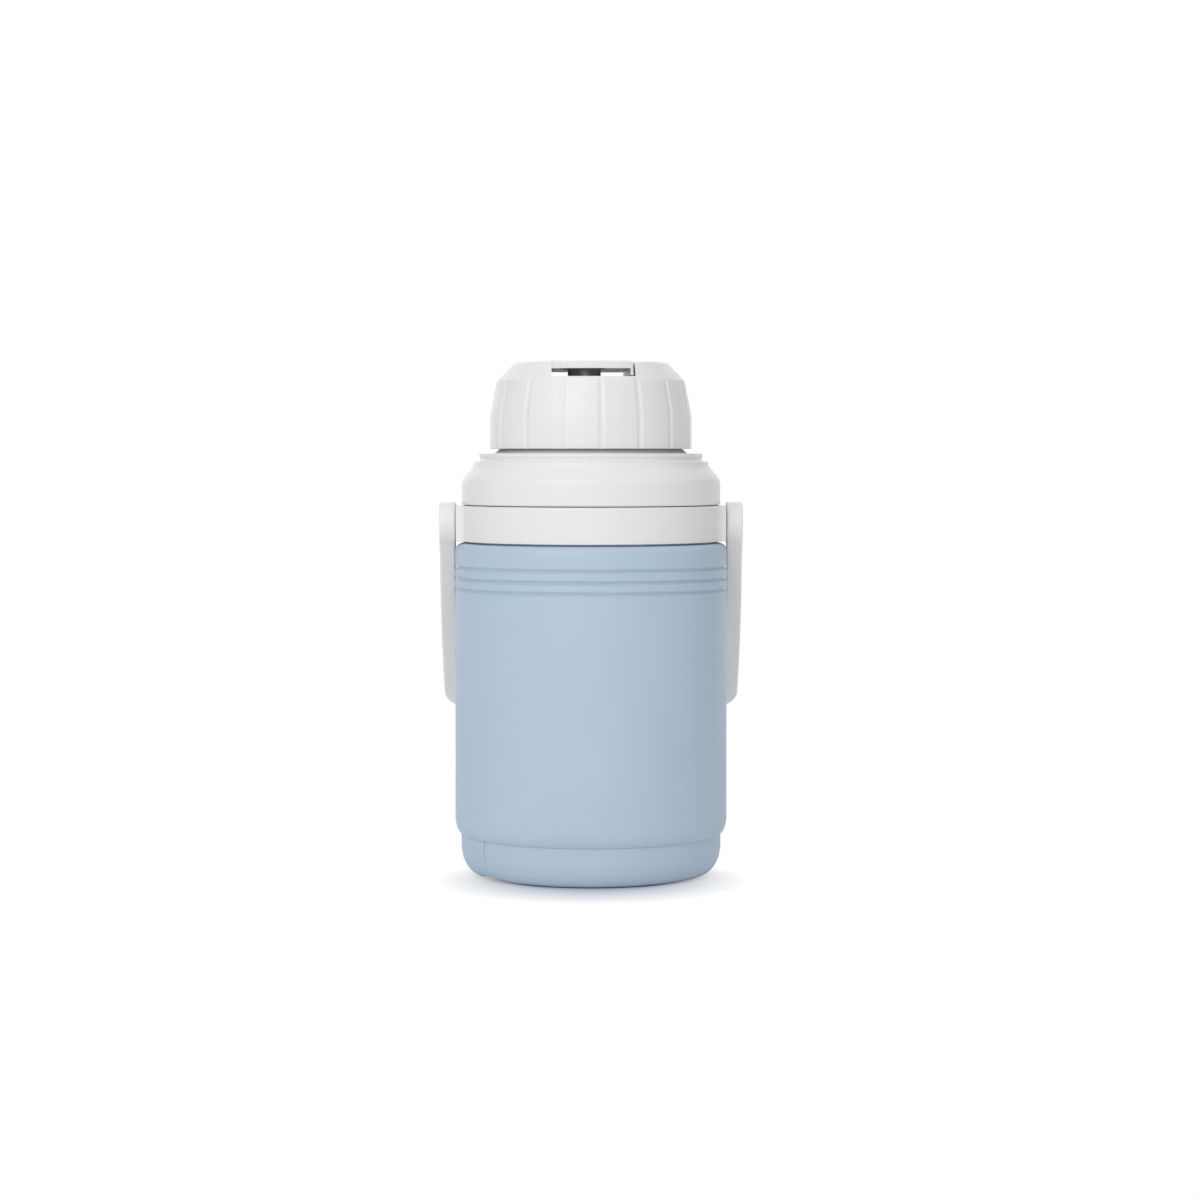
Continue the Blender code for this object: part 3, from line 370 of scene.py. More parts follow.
def cut(piece, *tools):
    combine(piece, "DIFFERENCE", *tools)


def ease_edges(piece, width):
    """Rounds the sharp edges, after tidying the short edges that Booleans leave."""
    weld = piece.modifiers.new("weld", "WELD")
    weld.merge_threshold = 0.00006
    bevel = piece.modifiers.new("bevel", "BEVEL")
    bevel.width = width
    bevel.segments = 3
    bevel.limit_method = "ANGLE"
    bevel.angle_limit = math.radians(32.0)
    bevel.use_clamp_overlap = True
    bevel.miter_outer = "MITER_ARC"
    apply_modifiers(piece)


def finish_piece(piece, body, node):
    """Smooth shading with the large faces deciding the normals, and the piece's place in the frame."""
    piece.data.shade_smooth()
    piece.data.set_sharp_from_angle(angle=math.radians(38.0))
    normals = piece.modifiers.new("normals", "WEIGHTED_NORMAL")
    normals.keep_sharp = True
    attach(piece, body)
    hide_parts(node)


def finish_on_cap(piece, body, node):
    """Finishes a piece that is drawn in the cap's own frame."""
    piece.data.transform(Matrix.Rotation(CAP_TURN, 4, "Z"))
    finish_piece(piece, body, node)


def helix_ridge(name, root, crest, start, turns):
    """A thread's ridge: it rises one pitch in each turn and fades out at both ends."""
    sunk = root - 0.0004
    root_half, crest_half, fade_turns = 0.0014, 0.0008, 0.08
    points = []
    loops = []
    for turn in evenly(0.0, turns, round(90 * turns)):
        fade = min(1.0, turn / fade_turns, (turns - turn) / fade_turns)
        top = sunk + (crest - sunk) * (0.1 + 0.9 * math.sin(math.pi / 2 * max(fade, 0.0)))
        height, angle = start + THREAD_PITCH * turn, 2 * math.pi * turn
        section = [(sunk, -root_half), (top, -crest_half), (top, crest_half), (sunk, root_half)]
        placed = [(r * math.cos(angle), r * math.sin(angle), height + h) for r, h in section]
        loops.append(add_loop(points, placed))
    return add_mesh(name, points, [loops[0], loops[-1]] + swept_grid(loops, False))


# ---- Materials ----


def set_inputs(node, **values):
    """Fills inputs by name, an underscore for each space. A socket is linked, anything else is set."""
    for name, value in values.items():
        socket = node.inputs[name.replace("_", " ")]
        if isinstance(value, bpy.types.NodeSocket):
            node.id_data.links.new(value, socket)
        else:
            socket.default_value = value
    return node


def add_node(nodes, kind, operation=None, **values):
    node = nodes.new("ShaderNode" + kind)
    if operation:
        node.operation = operation
    return set_inputs(node, **values)


def new_look(name, roughness, metallic=0.0):
    """A material, its nodes, its shader and an object-space coordinate."""
    material = bpy.data.materials.new(name)
    material.use_nodes = True
    nodes = material.node_tree.nodes
    shader = set_inputs(nodes["Principled BSDF"], Roughness=roughness, Metallic=metallic)
    return material, nodes, shader, add_node(nodes, "TexCoord").outputs["Object"]


def noise(nodes, place, scale, detail=2.0, stretch=None):
    """Noise in object space, scale in repeats per metre. stretch squeezes it along the axes."""
    if stretch:
        place = add_node(nodes, "Mapping", Scale=stretch, Vector=place).outputs["Vector"]
    return add_node(nodes, "TexNoise", Scale=scale, Detail=detail, Vector=place).outputs["Fac"]


def spread(nodes, value, low, high, source=(0.3, 0.7)):
    """Maps a texture's value from its source range to low..high."""
    node = add_node(nodes, "MapRange", Value=value, To_Min=low, To_Max=high)
    return set_inputs(node, From_Min=source[0], From_Max=source[1]).outputs["Result"]


def scale_colour(nodes, colour, factor):
    """The colour times a factor, both sockets."""
    return add_node(nodes, "VectorMath", "SCALE", Vector=colour, Scale=factor).outputs["Vector"]


def mix_colour(nodes, factor, first, second):
    """A mix of two RGB colours."""
    node = nodes.new("ShaderNodeMix")
    node.data_type = "RGBA"
    set_inputs(node, Factor=factor, A=(*first, 1.0), B=(*second, 1.0))
    return node.outputs["Result"]


def mix_shader(nodes, factor, first, second):
    node = add_node(nodes, "MixShader", Fac=factor)
    for shader, socket in zip((first, second), node.inputs[1:]):
        node.id_data.links.new(shader, socket)
    return node.outputs["Shader"]


def bumps(nodes, shader, height, distance, strength):
    node = add_node(nodes, "Bump", Height=height, Distance=distance, Strength=strength)
    set_inputs(shader, Normal=node.outputs["Normal"])


def moulded_plastic(name, colour, roughness, glow=0.0, glow_reach=0.002, shine=0.45):
    """Satin moulded plastic: faint clouding, fine grain, flow marks, and a painted highlight that makes sharp
    edges a little paler.
    """
    material, nodes, shader, place = new_look(name, roughness)
    cloud = spread(nodes, noise(nodes, place, 26.0, 3.0), 0.985, 1.015)
    speck = spread(nodes, noise(nodes, place, 1500.0), 0.993, 1.007)
    # painted highlight: a paler colour mixed in on sharp edges, where the pointiness is high
    edge_highlight_colour = tuple(min(1.0, part * 1.03 + 0.012) for part in colour)
    geometry = nodes.new("ShaderNodeNewGeometry")
    edge = spread(nodes, geometry.outputs["Pointiness"], 0.0, 1.0, (0.52, 0.60))
    base = mix_colour(nodes, edge, colour, edge_highlight_colour)
    base = scale_colour(nodes, scale_colour(nodes, base, cloud), speck)
    flow = noise(nodes, place, 9.0, 4.0, (1.0, 1.0, 5.0))
    sheen = spread(nodes, flow, roughness - 0.035, roughness + 0.035)
    set_inputs(shader, Base_Color=base, Roughness=sheen, Specular_IOR_Level=shine)
    bumps(nodes, shader, noise(nodes, place, 2600.0, 3.0), 0.00002, 0.35)
    if glow:
        reach = (glow_reach, 0.9 * glow_reach, 0.8 * glow_reach)
        set_inputs(shader, Subsurface_Weight=glow, Subsurface_Radius=reach, Subsurface_Scale=1.0)
    return material


def soft_rubber(name, colour):
    """Silicone: matt, with a dusty bloom and a fine skin."""
    material, nodes, shader, place = new_look(name, 0.6)
    bloom = spread(nodes, noise(nodes, place, 160.0, 4.0), 0.0, 1.0)
    dusty = tuple(part * 1.12 for part in colour)
    dull = spread(nodes, bloom, 0.52, 0.70, (0.0, 1.0))
    set_inputs(shader, Base_Color=mix_colour(nodes, bloom, colour, dusty), Roughness=dull)
    bumps(nodes, shader, noise(nodes, place, 3200.0, 2.0), 0.00002, 0.5)
    return material


def rigid_foam(name, colour):
    """Poured polyurethane foam: cells with darker walls, and slow changes of tone."""
    material, nodes, shader, place = new_look(name, 0.95)
    cells = add_node(nodes, "TexVoronoi", Scale=1300.0, Vector=place).outputs["Distance"]
    walls = spread(nodes, cells, 0.80, 1.08, (0.0, 0.7))
    tone = spread(nodes, noise(nodes, place, 45.0, 4.0), 0.0, 1.0)
    aged = (colour[0], colour[1] * 0.90, colour[2] * 0.72)
    set_inputs(shader, Base_Color=scale_colour(nodes, mix_colour(nodes, tone, colour, aged), walls))
    bumps(nodes, shader, cells, 0.0002, 0.7)
    return material


def drawn_steel(name):
    """A ground steel pin: fine marks round it and a slightly uneven shine."""
    material, nodes, shader, place = new_look(name, 0.25, 1.0)
    marks = noise(nodes, place, 700.0, 3.0, (1.0, 14.0, 1.0))
    tone = spread(nodes, noise(nodes, place, 220.0), 0.0, 1.0)
    base = mix_colour(nodes, tone, (0.58, 0.59, 0.61), (0.66, 0.67, 0.69))
    set_inputs(shader, Base_Color=base, Roughness=spread(nodes, marks, 0.18, 0.34))
    bumps(nodes, shader, marks, 0.00001, 0.3)
    return material


LOOKS = {
    "blue": moulded_plastic("satin_blue_plastic", (0.448, 0.555, 0.679), 0.46),
    "white": moulded_plastic("satin_white_plastic", (0.80, 0.80, 0.80), 0.42, glow=0.05),
    "handle": moulded_plastic(
        "handle_plastic", (0.795, 0.785, 0.775), 0.42, glow=0.3, glow_reach=0.005
    ),
    "thin_white": moulded_plastic(
        "thin_white_plastic", (0.79, 0.79, 0.79), 0.42, glow=0.35, glow_reach=0.006
    ),
    # painted light: the spout is the cap's white plastic, given a paler colour than the white look so that it
    # reads as lit inside the shaded slot
    "spout": moulded_plastic(
        "brightened_spout_plastic", (0.94, 0.94, 0.94), 0.15, glow=0.5, glow_reach=0.006, shine=1.0
    ),
    "liner": moulded_plastic("liner_plastic", (0.86, 0.86, 0.84), 0.32),
    "foam": rigid_foam("insulating_foam", (0.85, 0.76, 0.52)),
    "seal": soft_rubber("seal_silicone", (0.56, 0.58, 0.60)),
    "plug": soft_rubber("stopper_silicone", (0.42, 0.44, 0.47)),
    "steel": drawn_steel("ground_steel"),
}


# ---- Body ----


def body_reach(height):
    """Radius of the body's side at a height: crowned ridges between three rounded grooves."""
    heights = sorted(GROOVE_HEIGHTS)
    reach = BODY_RADIUS
    for groove in heights:
        offset = abs(height - groove) / GROOVE_HALF_WIDTH
        if offset < 1.0:
            reach -= GROOVE_DEPTH * (0.5 + 0.5 * math.cos(math.pi * offset)) ** GROOVE_SQUARENESS
    bands = [heights[0] - 0.020] + heights + [BODY_TOP]
    for low, high in zip(bands, bands[1:]):
        if low < height < high:
            beside = 2 * (height - low) / (high - low) - 1
            if low == bands[0]:
                beside = max(0.0, beside)  # the long wall below the grooves stays straight
            reach -= RIDGE_CROWN * beside**2
    return reach


def make_body():
    start = math.degrees(math.asin((BODY_BOTTOM - FOOT_CENTRE[1]) / FOOT_HALVES[1]))
    outline = [(BODY_LIP_BORE, BODY_BOTTOM)]
    outline += arc(FOOT_CENTRE, FOOT_HALVES, start, 0)
    side_low, side_high = GROOVE_HEIGHTS[-1] - 0.024, BODY_TOP - BODY_TOP_ROUND
    fine_step = 0.0002
    steps = round((side_high - side_low) / fine_step)
    heights = evenly(side_low, side_high, steps)[:-1]
    outline += [(body_reach(height), height) for height in [FOOT_CENTRE[1] + 0.03] + heights]
    corner_reach = body_reach(side_high)
    corner = (corner_reach - BODY_TOP_ROUND, side_high)
    outline += arc(corner, (BODY_TOP_ROUND, BODY_TOP_ROUND), 0, 90)
    neck_bore, neck_radius = BODY_NECK
    edge = 0.0004
    outline += rounded(
        (neck_radius, BODY_TOP, edge),
        (neck_radius, BODY_NECK_TOP, edge),
        (neck_bore, BODY_NECK_TOP, edge),
        (neck_bore, BODY_TOP - BODY_WALL, edge),
        (corner_reach - BODY_WALL, BODY_TOP - BODY_WALL, BODY_TOP_ROUND - BODY_WALL),
        (corner_reach - BODY_WALL, BODY_BOTTOM + 0.0038),
        (BODY_LIP_BORE, BODY_BOTTOM + 0.0023),
        (BODY_LIP_BORE, BODY_BOTTOM + 0.0010),
    )[1:]
    body = turned("blue_shell", outline, "blue")
    finish_piece(body, "jug_body", "outer_shell")


def notch_lift(angle):
    """How high the finger notch is at an angle round the base: a long rise, then a shorter fall."""
    offset = across_from(angle, NOTCH_DIRECTION)
    share = offset / NOTCH_SPANS[0 if offset < 0 else 1]
    if not -1 < share < 1:
        return 0.0
    if share < 0:
        return NOTCH_HEIGHT * (1 - share * share) ** NOTCH_FULLNESS
    return NOTCH_HEIGHT * (0.5 + 0.5 * math.cos(math.pi * share))


def base_shape(angle, radius, height):
    """Lifts the rim over the finger notch and draws the fine parting line down the side."""
    lift = notch_lift(angle)
    if height < lift and radius > NOTCH_INNER - NOTCH_BLEND:
        blend = min(1.0, (radius - NOTCH_INNER + NOTCH_BLEND) / NOTCH_BLEND)
        height = height + (lift - height) * blend
    beside = abs(across_from(angle, PARTING_DIRECTION)) * BASE_RADIUS / PARTING_HALF_WIDTH
    outer_skin = BASE_RADIUS - 0.006
    if beside < 1 and radius > outer_skin and height > PARTING_BOTTOM:
        radius -= PARTING_DEPTH * (0.5 + 0.5 * math.cos(math.pi * beside))
    return radius, height


def base_angles():
    """Angles of the base's steps: even ones, and finer ones at the parting line and across the notch."""
    parting = PARTING_DIRECTION - math.pi / 2
    half = PARTING_HALF_WIDTH / BASE_RADIUS
    line = [parting + half * share for share in (-1.6, -1, -0.5, 0, 0.5, 1, 1.6)]
    middle = NOTCH_DIRECTION - math.pi / 2
    notch_steps = 36
    notch = []
    for side, span in zip((-1, 1), NOTCH_SPANS):
        notch += [middle + side * span * step / notch_steps for step in range(1, notch_steps + 2)]
    near = math.radians(0.25)
    fine = line + [angle for angle in notch if abs(angle - parting) > near]
    fine = [angle % (2 * math.pi) for angle in fine]
    even = [2 * math.pi * (step + 0.5) / ROUND_STEPS for step in range(ROUND_STEPS)]
    return sorted(fine + [a for a in even if min(abs(a - b) for b in fine) > near])


def make_base():
    inner, outer, depth = CHANNEL
    contact = BASE_RADIUS - BASE_CORNER[0]
    seam_gap, seam_edge = BASE_SEAM
    top = BODY_BOTTOM - seam_gap
    underside = [
        (0.0, 0.0),
        (inner, 0.0, 0.0012),
        (inner + 0.002, depth, 0.0010),
        (outer - 0.002, depth, 0.0010),
        (outer, 0.0, 0.0012),
        (NOTCH_INNER - NOTCH_BLEND - 0.0002, 0.0),
        (NOTCH_INNER, 0.0),
    ]
    corner = arc((contact, BASE_CORNER[1]), BASE_CORNER, -90, 0, 36)  # fine enough for the notch
    inside = [
        (BASE_RADIUS, top, seam_edge),
        (SPIGOT[1], top, 0.0002),
        (SPIGOT[1], SPIGOT_TOP, 0.0004),
        (SPIGOT[0], SPIGOT_TOP, 0.0004),
        (SPIGOT[0], BASE_WALL + 0.0056, 0.004),
        (SPIGOT[0] - 0.0056, BASE_WALL, 0.002),
        (outer + 0.0015, BASE_WALL, 0.001),
        (outer - 0.0005, depth + BASE_WALL, 0.001),
        (inner + 0.0005, depth + BASE_WALL, 0.001),
        (inner - 0.0015, BASE_WALL, 0.001),
        (0.0, BASE_WALL),
    ]
    outline = rounded(*underside) + corner[1:] + rounded(corner[-1], *inside)[1:]
    base = turned("base", outline, "blue", shape=base_shape, angles=base_angles())
    plug_y = (PLUG_LOW.y + PLUG_HIGH.y) / 2
    hole = rod("hole", FILL_HOLE_RADIUS, -0.002, 0.010, centre=(0, plug_y, 0))
    cut(base, hole)
    finish_piece(base, "jug_body", "base_cup")


def make_fill_plug():
    centre = (0.0, (PLUG_LOW.y + PLUG_HIGH.y) / 2, 0.0)
    flange = (PLUG_HIGH.x - PLUG_LOW.x) / 2
    stem = 0.0057
    seat = CHANNEL[2] - GAP
    outline = rounded(
        (0.0, PLUG_LOW.z + 0.0003),
        (0.0030, PLUG_LOW.z + 0.0003, 0.0003),
        (0.0034, PLUG_LOW.z, 0.0003),
        (flange - 0.0003, PLUG_LOW.z, 0.0004),
        (flange, seat, 0.0002),
        (stem, seat),
        (stem - 0.0004, PLUG_HIGH.z, 0.0004),
        (0.0, PLUG_HIGH.z),
    )
    plug = turned("fill_plug", outline, "seal", SMALL_STEPS, "Z", centre)
    finish_piece(plug, "jug_body", "foam_fill_plug")


# ---- Collar and pins ----


def collar_plan():
    """The collar's outline from above: a ring that flows into a flat boss at each side."""
    reach = EYE_INNER - BOSS_GAP
    centre_y = BOSS_HALF_WIDTH + BOSS_FILLET
    centre_x = math.sqrt((COLLAR_RADIUS + BOSS_FILLET) ** 2 - centre_y**2)
    end = math.atan2(centre_y, centre_x)
    quarter = [(reach, 0.0), (reach, BOSS_HALF_WIDTH, BOSS_CORNER)]
    quarter += arc((centre_x, centre_y), (BOSS_FILLET, BOSS_FILLET), 270, 180 + math.degrees(end), 10)
    arc_steps = 48
    for angle in evenly(end, math.pi / 2, arc_steps)[1:-1]:
        quarter.append((COLLAR_RADIUS * math.cos(angle), COLLAR_RADIUS * math.sin(angle)))
    quarter.append((0.0, COLLAR_RADIUS))
    half = quarter + [(-corner[0], *corner[1:]) for corner in reversed(quarter[:-1])]
    whole = half + [(corner[0], -corner[1], *corner[2:]) for corner in reversed(half[1:-1])]
    return [Vector(point) for point in rounded(*whole)]


def make_collar():
    plan = collar_plan()
    count = len(plan)
    normals = []
    for i, point in enumerate(plan):
        along = (plan[(i + 1) % count] - plan[i - 1]).normalized()
        normals.append(Vector((along.y, -along.x)))
    bottom, top = COLLAR_LOW.z, COLLAR_HIGH.z
    low_edge, high_edge = COLLAR_EDGES
    section = arc((-low_edge, bottom + low_edge), (low_edge, low_edge), -90, 0)
    section += arc((-high_edge, top - high_edge), (high_edge, high_edge), 0, 90)
    points = []
    loops = []
    for out, height in section:
        ring = [(*(point + normal * out), height) for point, normal in zip(plan, normals)]
        loops.append(add_loop(points, ring))
    for height in (top, bottom):
        bore = [(*(point.normalized() * COLLAR_BORE), height) for point in plan]
        loops.append(add_loop(points, bore))
    collar = add_mesh("collar", points, swept_grid(loops, True), "white")
    pivot = (0, 0, SWING_PLACE.z)
    pad_end = EYE_INNER - RUNNING_GAP
    for side in (-1, 1):
        pad = rod("pad", PAD_RADIUS, side * (EYE_INNER - 0.004), side * pad_end, "X", pivot)
        combine(collar, "UNION", pad)
        socket = rod("socket", PIN_RADIUS + GAP, side * 0.050, side * 0.080, "X", pivot)
        cut(collar, socket)
    finish_piece(collar, "jug_body", "handle_collar")


def make_pins():
    outer = HANDLE_OUTER - GAP
    inner = outer - PIN_HEAD_DEPTH
    start = COLLAR_BORE + GAP
    for name, node, side in (("pin_left", "pivot_pin_left", -1), ("pin_right", "pivot_pin_right", 1)):
        outline = rounded(
            (0.0, side * start),
            (PIN_RADIUS, side * start, 0.0004),
            (PIN_RADIUS, side * inner),
            (PIN_HEAD_RADIUS, side * inner, 0.0002),
            (PIN_HEAD_RADIUS, side * outer, 0.0006),
            (0.0, side * outer),
        )
        pin = turned(name, outline, "white", SMALL_STEPS, "X", (0, 0, SWING_PLACE.z))
        finish_piece(pin, "jug_body", node)


# ---- Handle ----


def handle_stations():
    """The handle's middle line from eye to eye, in halves: (x, z, outward angle, half-thickness)."""
    middle = HANDLE_OUTER - EYE_THICKNESS / 2
    arm_end = HANDLE_CORNER - HANDLE_REACH
    arm_steps, bend_steps, grip_steps = 40, 18, 14
    right = []
    for step in range(1, arm_steps):
        share = (step / arm_steps) ** 1.3  # closer together near the eye
        along = -arm_end * share
        x = middle + ARM_BOW * math.sin(ARM_BOW_TURN * share)
        fade = min(1.0, along / (1.6 * EYE_RADIUS))
        thick = EYE_THICKNESS + (ARM_THICKNESS - EYE_THICKNESS) * fade * fade * (3 - 2 * fade)
        right.append((x, -along, 0.0, thick / 2))
    corner_x = middle + ARM_BOW * math.sin(ARM_BOW_TURN) - HANDLE_CORNER
    for step in range(bend_steps + 1):
        angle = -math.pi / 2 * step / bend_steps
        x, z = corner_x + HANDLE_CORNER * math.cos(angle), arm_end + HANDLE_CORNER * math.sin(angle)
        right.append((x, z, angle, ARM_THICKNESS / 2))
    for step in range(1, grip_steps + 1):
        right.append((corner_x * (1 - step / grip_steps), -HANDLE_REACH, -math.pi / 2, ARM_THICKNESS / 2))
    left = [(-x, z, math.pi - angle, thick) for x, z, angle, thick in reversed(right[:-1])]
    return right, left


def arm_half_width(along, inset):
    """Half-width of the arm at a distance from the pivot: the eye's circle easing into the straight arm."""
    eye = EYE_RADIUS - inset
    arm = ARM_HALF_WIDTH - inset
    circle = math.sqrt(max(eye * eye - along * along, 0.0))
    blend = min(1.0, max(0.0, along / (1.7 * EYE_RADIUS)))
    return max(circle, arm) if blend >= 1 else max(circle, arm + (eye - arm) * (1 - blend) ** 2 * 0.75)


def edge_layers():
    """Layers across the plate's thickness, round both its edges: (side, share of inset, share of rise)."""
    turns = evenly(0.0, math.pi / 2, 5)
    inner = [(-1, 1 - math.sin(turn), math.cos(turn)) for turn in turns]
    outer = [(1, 1 - math.cos(turn), math.sin(turn)) for turn in turns]
    return inner + outer


def handle_layer(side, inset, rise):
    """One closed layer of the handle: from eye to eye along its front edge, then back along the other."""
    middle = HANDLE_OUTER - EYE_THICKNESS / 2
    eye_half = EYE_THICKNESS / 2
    radius = EYE_RADIUS - inset
    turns = evenly(0.0, math.pi / 2, 20)
    heads = []
    for sign, outward in ((1, 0.0), (-1, math.pi)):
        head = [(sign * middle, radius * math.cos(t), outward, eye_half, radius * math.sin(t)) for t in turns]
        heads.append(head)
    right, left = handle_stations()
    path = []
    for x, z, angle, half_thick in right + left:
        along = -z if angle in (0.0, math.pi) else 9 * EYE_RADIUS  # round the corner: far from the eye
        path.append((x, z, angle, half_thick, arm_half_width(along, inset)))
    front, back = [], []
    for x, z, angle, half_thick, half_width in heads[0] + path + heads[1][::-1]:
        out = side * (half_thick - ARM_EDGE + rise)
        across, up = x + out * math.cos(angle), z + out * math.sin(angle)
        front.append((across, half_width, up))
        back.append((across, -half_width, up))
    return front + back[1:-1][::-1]


def make_handle():
    """One plate bent into a U, built as layers across its thickness, each inset by the edge's rounding."""
    points = []
    loops = []
    for side, inset_share, rise_share in edge_layers():
        layer = handle_layer(side, ARM_EDGE * inset_share, ARM_EDGE * rise_share)
        loops.append(add_loop(points, layer))
    faces = swept_grid(loops, False)
    for loop in (loops[0], loops[-1]):
        count = len(loop)
        for i in range(count // 2):
            quad = [loop[i], loop[i + 1], loop[(count - i - 1) % count], loop[(count - i) % count]]
            quad = list(dict.fromkeys(quad))
            if len(quad) > 2:
                faces.append(quad)
    handle = add_mesh("handle", points, faces, "handle")
    for side in (-1, 1):
        inner, outer = side * (EYE_INNER - 0.005), side * (HANDLE_OUTER + 0.005)
        recess = side * (HANDLE_OUTER - PIN_HEAD_DEPTH - 2 * GAP)
        cut(handle, rod("bore", PIN_RADIUS + RUNNING_GAP, inner, outer, "X"))
        cut(handle, rod("recess", PIN_HEAD_RADIUS + GAP, recess, outer, "X"))
    fold = Matrix.Translation(SWING_PLACE) @ Matrix.Rotation(HANDLE_FOLD, 4, "X")
    handle.data.transform(fold)
    finish_piece(handle, "handle", "bail_handle")


# ---- Shoulder ----


def make_shoulder():
    middle, swing, height = SHOULDER_CURVE
    bore = BODY_NECK[1] + GAP
    seat_inner, seat_outer, seat_height = GASKET_SEAT
    side = rounded(
        (bore, SHOULDER_BOTTOM),
        (SHOULDER_RADIUS, SHOULDER_BOTTOM, SHOULDER_CORNER),
        (SHOULDER_RADIUS, SHOULDER_SIDE_TOP),
    )
    curve = []
    for share in evenly(0.0, 1.0, 28):
        curve.append((middle + swing * math.cos(math.pi * share), SHOULDER_SIDE_TOP + height * share))
    top = [
        curve[-1],
        (0.0556, SHOULDER_TOP - 0.0038, 0.0008),
        (SHOULDER_GROOVE_RADIUS, SHOULDER_TOP - 0.0026, 0.0009),
        (SHOULDER_LIP_RADIUS, SHOULDER_TOP - 0.0014, 0.0003),
        (SHOULDER_LIP_RADIUS, SHOULDER_TOP, 0.0004),
        (0.0475, SHOULDER_TOP, 0.0010),
        (0.0452, SHOULDER_TOP + 0.0020, 0.0008),
        (NECK_RADIUS, SHOULDER_TOP + 0.0030, 0.0008),
        (NECK_RADIUS, NECK_TOP, 0.0005),
        (NECK_BORE, NECK_TOP, 0.0005),
        (NECK_BORE, SHOULDER_TOP - 0.0006, 0.003),
        (seat_inner, SHOULDER_TOP - 0.0078),
        (seat_inner, seat_height),
        (seat_outer, seat_height),
        (seat_outer, SHOULDER_TOP - 0.0046, 0.001),
        (0.0560, SHOULDER_TOP - 0.0075, 0.002),
        (bore, SHOULDER_SIDE_TOP, 0.001),
        side[0],
    ]
    outline = side + curve[1:-1] + rounded(*top)[:-1]
    shoulder = turned("shoulder", outline, "white")
    crest = NECK_RADIUS + THREAD_HEIGHT
    ridge = helix_ridge("ridge", NECK_RADIUS, crest, THREAD_START, THREAD_TURNS)
    combine(shoulder, "UNION", ridge)
    finish_piece(shoulder, "jug_body", "shoulder_ring")


# ---- Cap ----


def side_reach(height):
    """Radius of the cap's side, straight to the bend and then leaning in, also above its corner."""
    lean_radius, lean_height = CAP_LEAN_TOP
    lean = (CAP_RADIUS - lean_radius) / (lean_height - CAP_BEND)
    over = height - CAP_BEND
    if over < -CAP_LEAN_EASE:
        return CAP_RADIUS
    if over < CAP_LEAN_EASE:
        return CAP_RADIUS - lean * (over + CAP_LEAN_EASE) ** 2 / (4 * CAP_LEAN_EASE)
    return CAP_RADIUS - lean * over


def dome_outline(fluted, inset=0.0):
    """The cap's outer profile from its bottom edge, or from its corner, to the flat top."""
    corner_radius, corner_height = CAP_CORNER
    slope_radius, slope_height = CAP_SLOPE_TOP
    top = CAP_TOP - inset
    slope = [
        (corner_radius - inset, corner_height, 0.0012),
        (slope_radius - inset, slope_height - inset / 2, 0.0025),
        (CAP_FLAT_RADIUS, top, 0.0040),
        (0.0, top),
    ]
    if not fluted:
        return rounded((0.0, corner_height), slope[0][:2], *slope[1:])
    low = CAP_BOTTOM + CAP_EDGE
    side = [(side_reach(height), height) for height in evenly(low, CAP_SIDE_TOP, 34)]
    bottom = [(0.0, CAP_BOTTOM)] + arc((CAP_RADIUS - CAP_EDGE, low), (CAP_EDGE, CAP_EDGE), -90, 0)
    return bottom + side[1:-1] + rounded(side[-1], *slope, (0.0, CAP_BOTTOM))[:-1]


def flute_share(angle):
    """How deep the flutes are at an angle round the cap, from 0 to 1: a soft channel."""
    first = FLUTE_FIRST - math.pi / 2 - CAP_TURN
    pitch = 2 * math.pi / FLUTE_COUNT
    offset = (angle - first + pitch / 2) % pitch - pitch / 2
    beside = abs(offset) * CAP_RADIUS / FLUTE_HALF_WIDTH
    return (0.5 + 0.5 * math.cos(math.pi * beside)) ** 0.8 if beside < 1 else 0.0


def fluted(angle, radius, height):
    depth = FLUTE_DEPTH * flute_share(angle)
    return min(radius, side_reach(height) - depth), height


def dome_angles():
    first = FLUTE_FIRST - math.pi / 2 - CAP_TURN
    pitch = 2 * math.pi / FLUTE_COUNT
    half = FLUTE_HALF_WIDTH / CAP_RADIUS
    edge = 1.2
    shares = [-edge + 0.15 * step for step in range(17)]
    angles = []
    for flute in range(FLUTE_COUNT):
        middle = first + flute * pitch
        angles += [middle + half * share for share in shares]
        angles += evenly(middle + edge * half, middle + pitch - edge * half, 8)[1:-1]
    return angles


def cap_cavity():
    """The hollow under the cap's dome, which leaves a wall beside and below the slot."""
    outline = rounded(
        (0.0, CAP_BOTTOM - 0.001),
        (CAP_BORE, CAP_BOTTOM - 0.001),
        (CAP_BORE, CAP_DISC_TOP + 0.0004, 0.001),
        (*CAVITY_SIDE[0], 0.002),
        (*CAVITY_SIDE[1], 0.001),
        (CAVITY_TOP_RADIUS, CAP_CEILING, 0.001),
        (0.0, CAP_CEILING),
    )
    cavity = turned("cavity", outline, steps=120)
    low = (SLOT_LEFT - SLOT_WALL, -CUT_REACH, SLOT_FLOOR - SLOT_WALL)
    high = (HINGE_X + POCKET_RADIUS + SLOT_WALL, CUT_REACH, CAP_TOP + 0.010)
    cut(cavity, box("kept", low, high))
    return cavity


def slot_cutter():
    """The slot's section, whose right wall curves round the hinge."""
    round_off = HINGE_X - SLOT_RIGHT
    outline = [(SLOT_LEFT, SLOT_FLOOR), (SLOT_RIGHT, SLOT_FLOOR)]
    outline += arc((HINGE_X, HINGE_HEIGHT), (round_off, round_off), 180, 95)
    outline += [(HINGE_X - 0.0001, CUT_TOP), (SLOT_LEFT, CUT_TOP)]
    return prism_y("slot", outline, -CUT_REACH, CUT_REACH)


def strip_cutter():
    """A skin's thickness of the dome, over a strip beside the strap."""
    low, high = (SLOT_RIGHT - 0.001, -CUT_REACH, SLOT_FLOOR), (HINGE_STRIP_RIGHT, CUT_REACH, CUT_TOP)
    strip = box("strip", low, high)
    core = turned("core", dome_outline(False, HINGE_STRIP_DEPTH), steps=320)
    cut(strip, core)
    return strip


